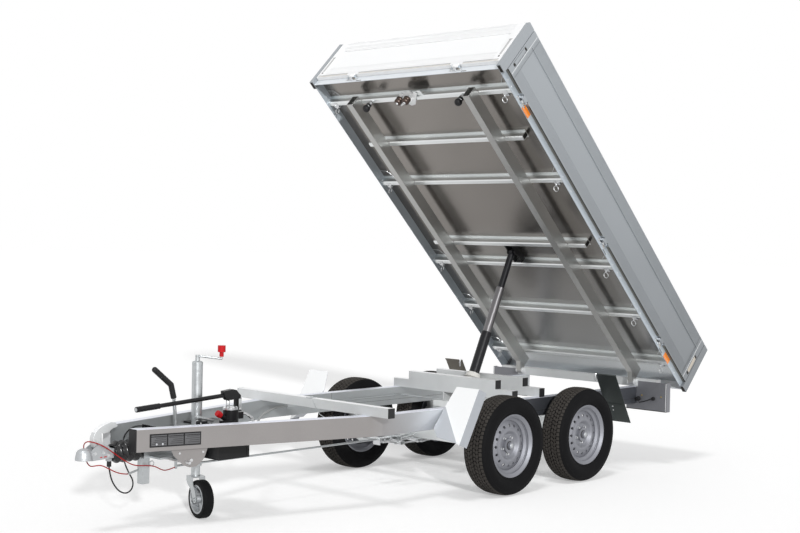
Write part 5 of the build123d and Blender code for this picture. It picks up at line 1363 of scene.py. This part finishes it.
class TRAILER_OT_drawbar_details(bpy.types.Operator):
    """Adds the gaiter, plate panels, bolts, pump and jockey details"""

    bl_idname = "trailer.drawbar_details"
    bl_label = "Drawbar details"

    def execute(self, context):
        gaiter().done("gaiter", "chassis", "gaiter", stand_for=("overrun_bellows",), crease=60)
        instruction_panels().done("plate_panels", "chassis", "blank", "ink", "cast")
        coupling_bolts().done("coupling_bolts", "chassis", "bolt")
        red_marks().done("red_marks", "chassis", "signal")
        jockey_details().done("jockey_fittings", "chassis", "zinc", "pump", "bolt")
        fork_bolts().done("fork_bolts", "jockey_fork", "zinc")
        clamp_bolts().done("clamp_bolts", "chassis", "bolt")
        pump_details().done("pump_fittings", "chassis", "bolt", "chrome", "pump", "zinc")
        pump_knob().done("knob_ridges", "chassis", "signal")
        grip_ribs().done("grip_ribs", "chassis", "plastic")
        return {"FINISHED"}


# ---- chassis details, in the chassis' axes ----
def rail_seams():
    """Overlap seams of the rails and the dark joint lines below their lips."""
    shape = Shape()
    for side in (1, -1):
        for face, out in ((530.15, 1), (469.85, -1)):
            outer = side * face
            inner = outer - side * out * 0.5
            shape.block((799, inner, 438), (801.2, outer, 553), 0.1)
            shape.block((-1300, inner, 470), (799, outer, 471.5), 0.1)
    return shape


def bar_fittings():
    """Bolt and release wire on the front bar, and welds under the ram bars."""
    shape = Shape()
    shape.bolt((1417, 0, 612), UP, 9)
    wire = [(1417, 8, 614), (1440, 30, 606), (1446, 60, 570), (1430, 85, 520), (1400, 104, 498)]
    shape.wire(wire, 2.2)
    shape.block((1408, -26, 609), (1444, 26, 613.5), 1.5)
    for x in (-156, 128):
        for side in (1, -1):
            shape.rod((x - 22, side * 500, 556), (x + 22, side * 500, 556), 4.0, sides=10, edge=1)
    return shape


def brake_gear():
    """Bright compensator, rods, nuts and return spring ahead of the front axle."""
    shape = Shape(CHASSIS @ Matrix.Translation((232, 0, -14)))
    shape.rod((576, -20, 305), (268, -20, 302), 5.0, edge=1)
    shape.block((300, -150, 290), (322, 110, 312), 2)
    cables = (-140, 96)
    for y in cables:
        shape.rod((560, y, 300), (170, y, 298), 5.0, edge=1)
        for x in (330, 344, 290, 276):
            shape.rod((x, y, 300), (x + 8, y, 300), 11, sides=6, edge=1)
    for x in (352, 366, 404, 420):
        shape.rod((x, -20, 303), (x + 9, -20, 303), 11.5, sides=6, edge=1)
    coil = []
    for i in range(97):
        turn = 2 * pi * i / 8
        coil.append((440 + i * 1.1, -20 + 13 * cos(turn), 303 + 13 * sin(turn)))
    shape.wire(coil, 2.2, 6)
    shape.block((430, -46, 286), (436, 6, 320), 1)
    shape.block((596, -50, 284), (602, 10, 330), 1)
    shape.block((436, -44, 322), (600, 6, 326), 1)
    for x in (448, 500, 552, 590):
        shape.bolt((x, 6, 310), (0, 1, 0), 8)
        shape.block((x - 8, -10, 296), (x + 8, 6, 322), 2)
    for y in cables:
        shape.block((480, y - 16, 290), (520, y + 16, 312), 3)
        shape.rod((520, y, 300), (620, y, 318), 6.0, sides=10, edge=1)
    shape.wire([(560, 60, 330), (500, 70, 312), (420, 90, 318), (330, 80, 352)], 4.0)
    return shape


def carrier_fittings():
    """Plug, cable, bolts, grommet and lower lip of the lamp carriers."""
    shape = Shape()
    face = -1249.5
    for side in (1, -1):
        plug = side * 554
        shape.finish = 0
        shape.rod((face - 2, plug, 471), (face + 20, plug, 471), 17, 14, 20, 2)
        shape.block((face + 8, plug - 22, 463), (face + 18, plug + 22, 479), 3)
        shape.rod((face - 2, side * 678, 480), (face + 16, side * 678, 480), 14, 12, 20, 2)
        wire = [(face + 16, 560, 462), (face + 18, 572, 447), (face + 14, 600, 454)]
        wire += [(face + 10, 632, 465), (face + 12, 656, 474), (face + 12, 674, 480)]
        shape.wire([(x, side * y, z) for x, y, z in wire], 3.4)
        wire = [(face + 4, 454, 431), (face + 3, 500, 445), (face + 6, 540, 458)]
        shape.wire([(x, side * y, z) for x, y, z in wire], 1.6)
        shape.finish = 1
        shape.bolts([(face, side * y, 497) for y in (580, 739)], (1, 0, 0), 5.5)
        shape.finish = 2
        shape.block((face - 1, side * 452, 392.6), (face + 0.6, side * 784, 397), 0.3)
        shape.finish = 3
        shape.block((face - 1, side * 776, 396), (face + 1, side * 779, 594), 0.4)
    return shape


def guard_bolts():
    shape = Shape()
    for side in (1, -1):
        shape.bolts([(-714, side * 700, 470), (-722, side * 700, 444)], (0.86, 0, 0.5), 4.5)
        shape.bolt((-640, side * 606, 668), (0.2, 0, 1), 9)
        shape.rod((-640, side * 606, 640), (-640, side * 606, 690), 5, edge=1)
    return shape


def rear_lenses():
    """Amber and clear windows over the red rear lamps."""
    shape = Shape()
    for side in (1, -1):
        for z, key in ((480, 0), (446, 1)):
            shape.finish = key
            shape.block((-1294.2, side * 560, z - 12), (-1291, side * 760, z + 12), 1)
    return shape


class TRAILER_OT_chassis_details(bpy.types.Operator):
    """Adds seams, bolts, the brake gear and lamp fittings of the chassis"""

    bl_idname = "trailer.chassis_details"
    bl_label = "Chassis details"

    def execute(self, context):
        rail_seams().done("rail_seams", "chassis", "shadow")
        bar_fittings().done("bar_fittings", "chassis", "zinc")
        brake_gear().done("brake_gear", "chassis", "bolt")
        carrier_fittings().done(
            "carrier_fittings", "chassis", "plastic", "brass", "shadow", "pale"
        )
        guard_bolts().done("guard_bolts", "chassis", "bolt")
        rear_lenses().done("lamp_windows", "chassis", "amber", "clear")
        return {"FINISHED"}


# ---- the add-on ----
OPERATORS = (
    TRAILER_OT_stage,
    TRAILER_OT_cables,
    TRAILER_OT_finishes,
    TRAILER_OT_wheels,
    TRAILER_OT_bed_details,
    TRAILER_OT_drawbar_details,
    TRAILER_OT_chassis_details,
)


class TRAILER_PT_parts(bpy.types.Panel):
    """Lists the trailer's sizes and the steps that finish it"""

    bl_idname = "TRAILER_PT_parts"
    bl_label = "Tipper Trailer"
    bl_space_type = "VIEW_3D"
    bl_region_type = "UI"
    bl_category = "Trailer"

    def draw(self, context):
        for name in TrailerSettings.__annotations__:
            self.layout.prop(context.scene.trailer, name)
        for operator in OPERATORS:
            self.layout.operator(operator.bl_idname)


CLASSES = (TrailerSettings, *OPERATORS, TRAILER_PT_parts)


def register():
    for cls in CLASSES:
        bpy.utils.register_class(cls)
    bpy.types.Scene.trailer = PointerProperty(type=TrailerSettings)


def unregister():
    del bpy.types.Scene.trailer
    for cls in reversed(CLASSES):
        bpy.utils.unregister_class(cls)


def main():
    register()
    for operator in OPERATORS:
        group, step = operator.bl_idname.split(".")
        getattr(getattr(bpy.ops, group), step)()
    bpy.context.view_layer.update()


if __name__ == "__main__":
    main()
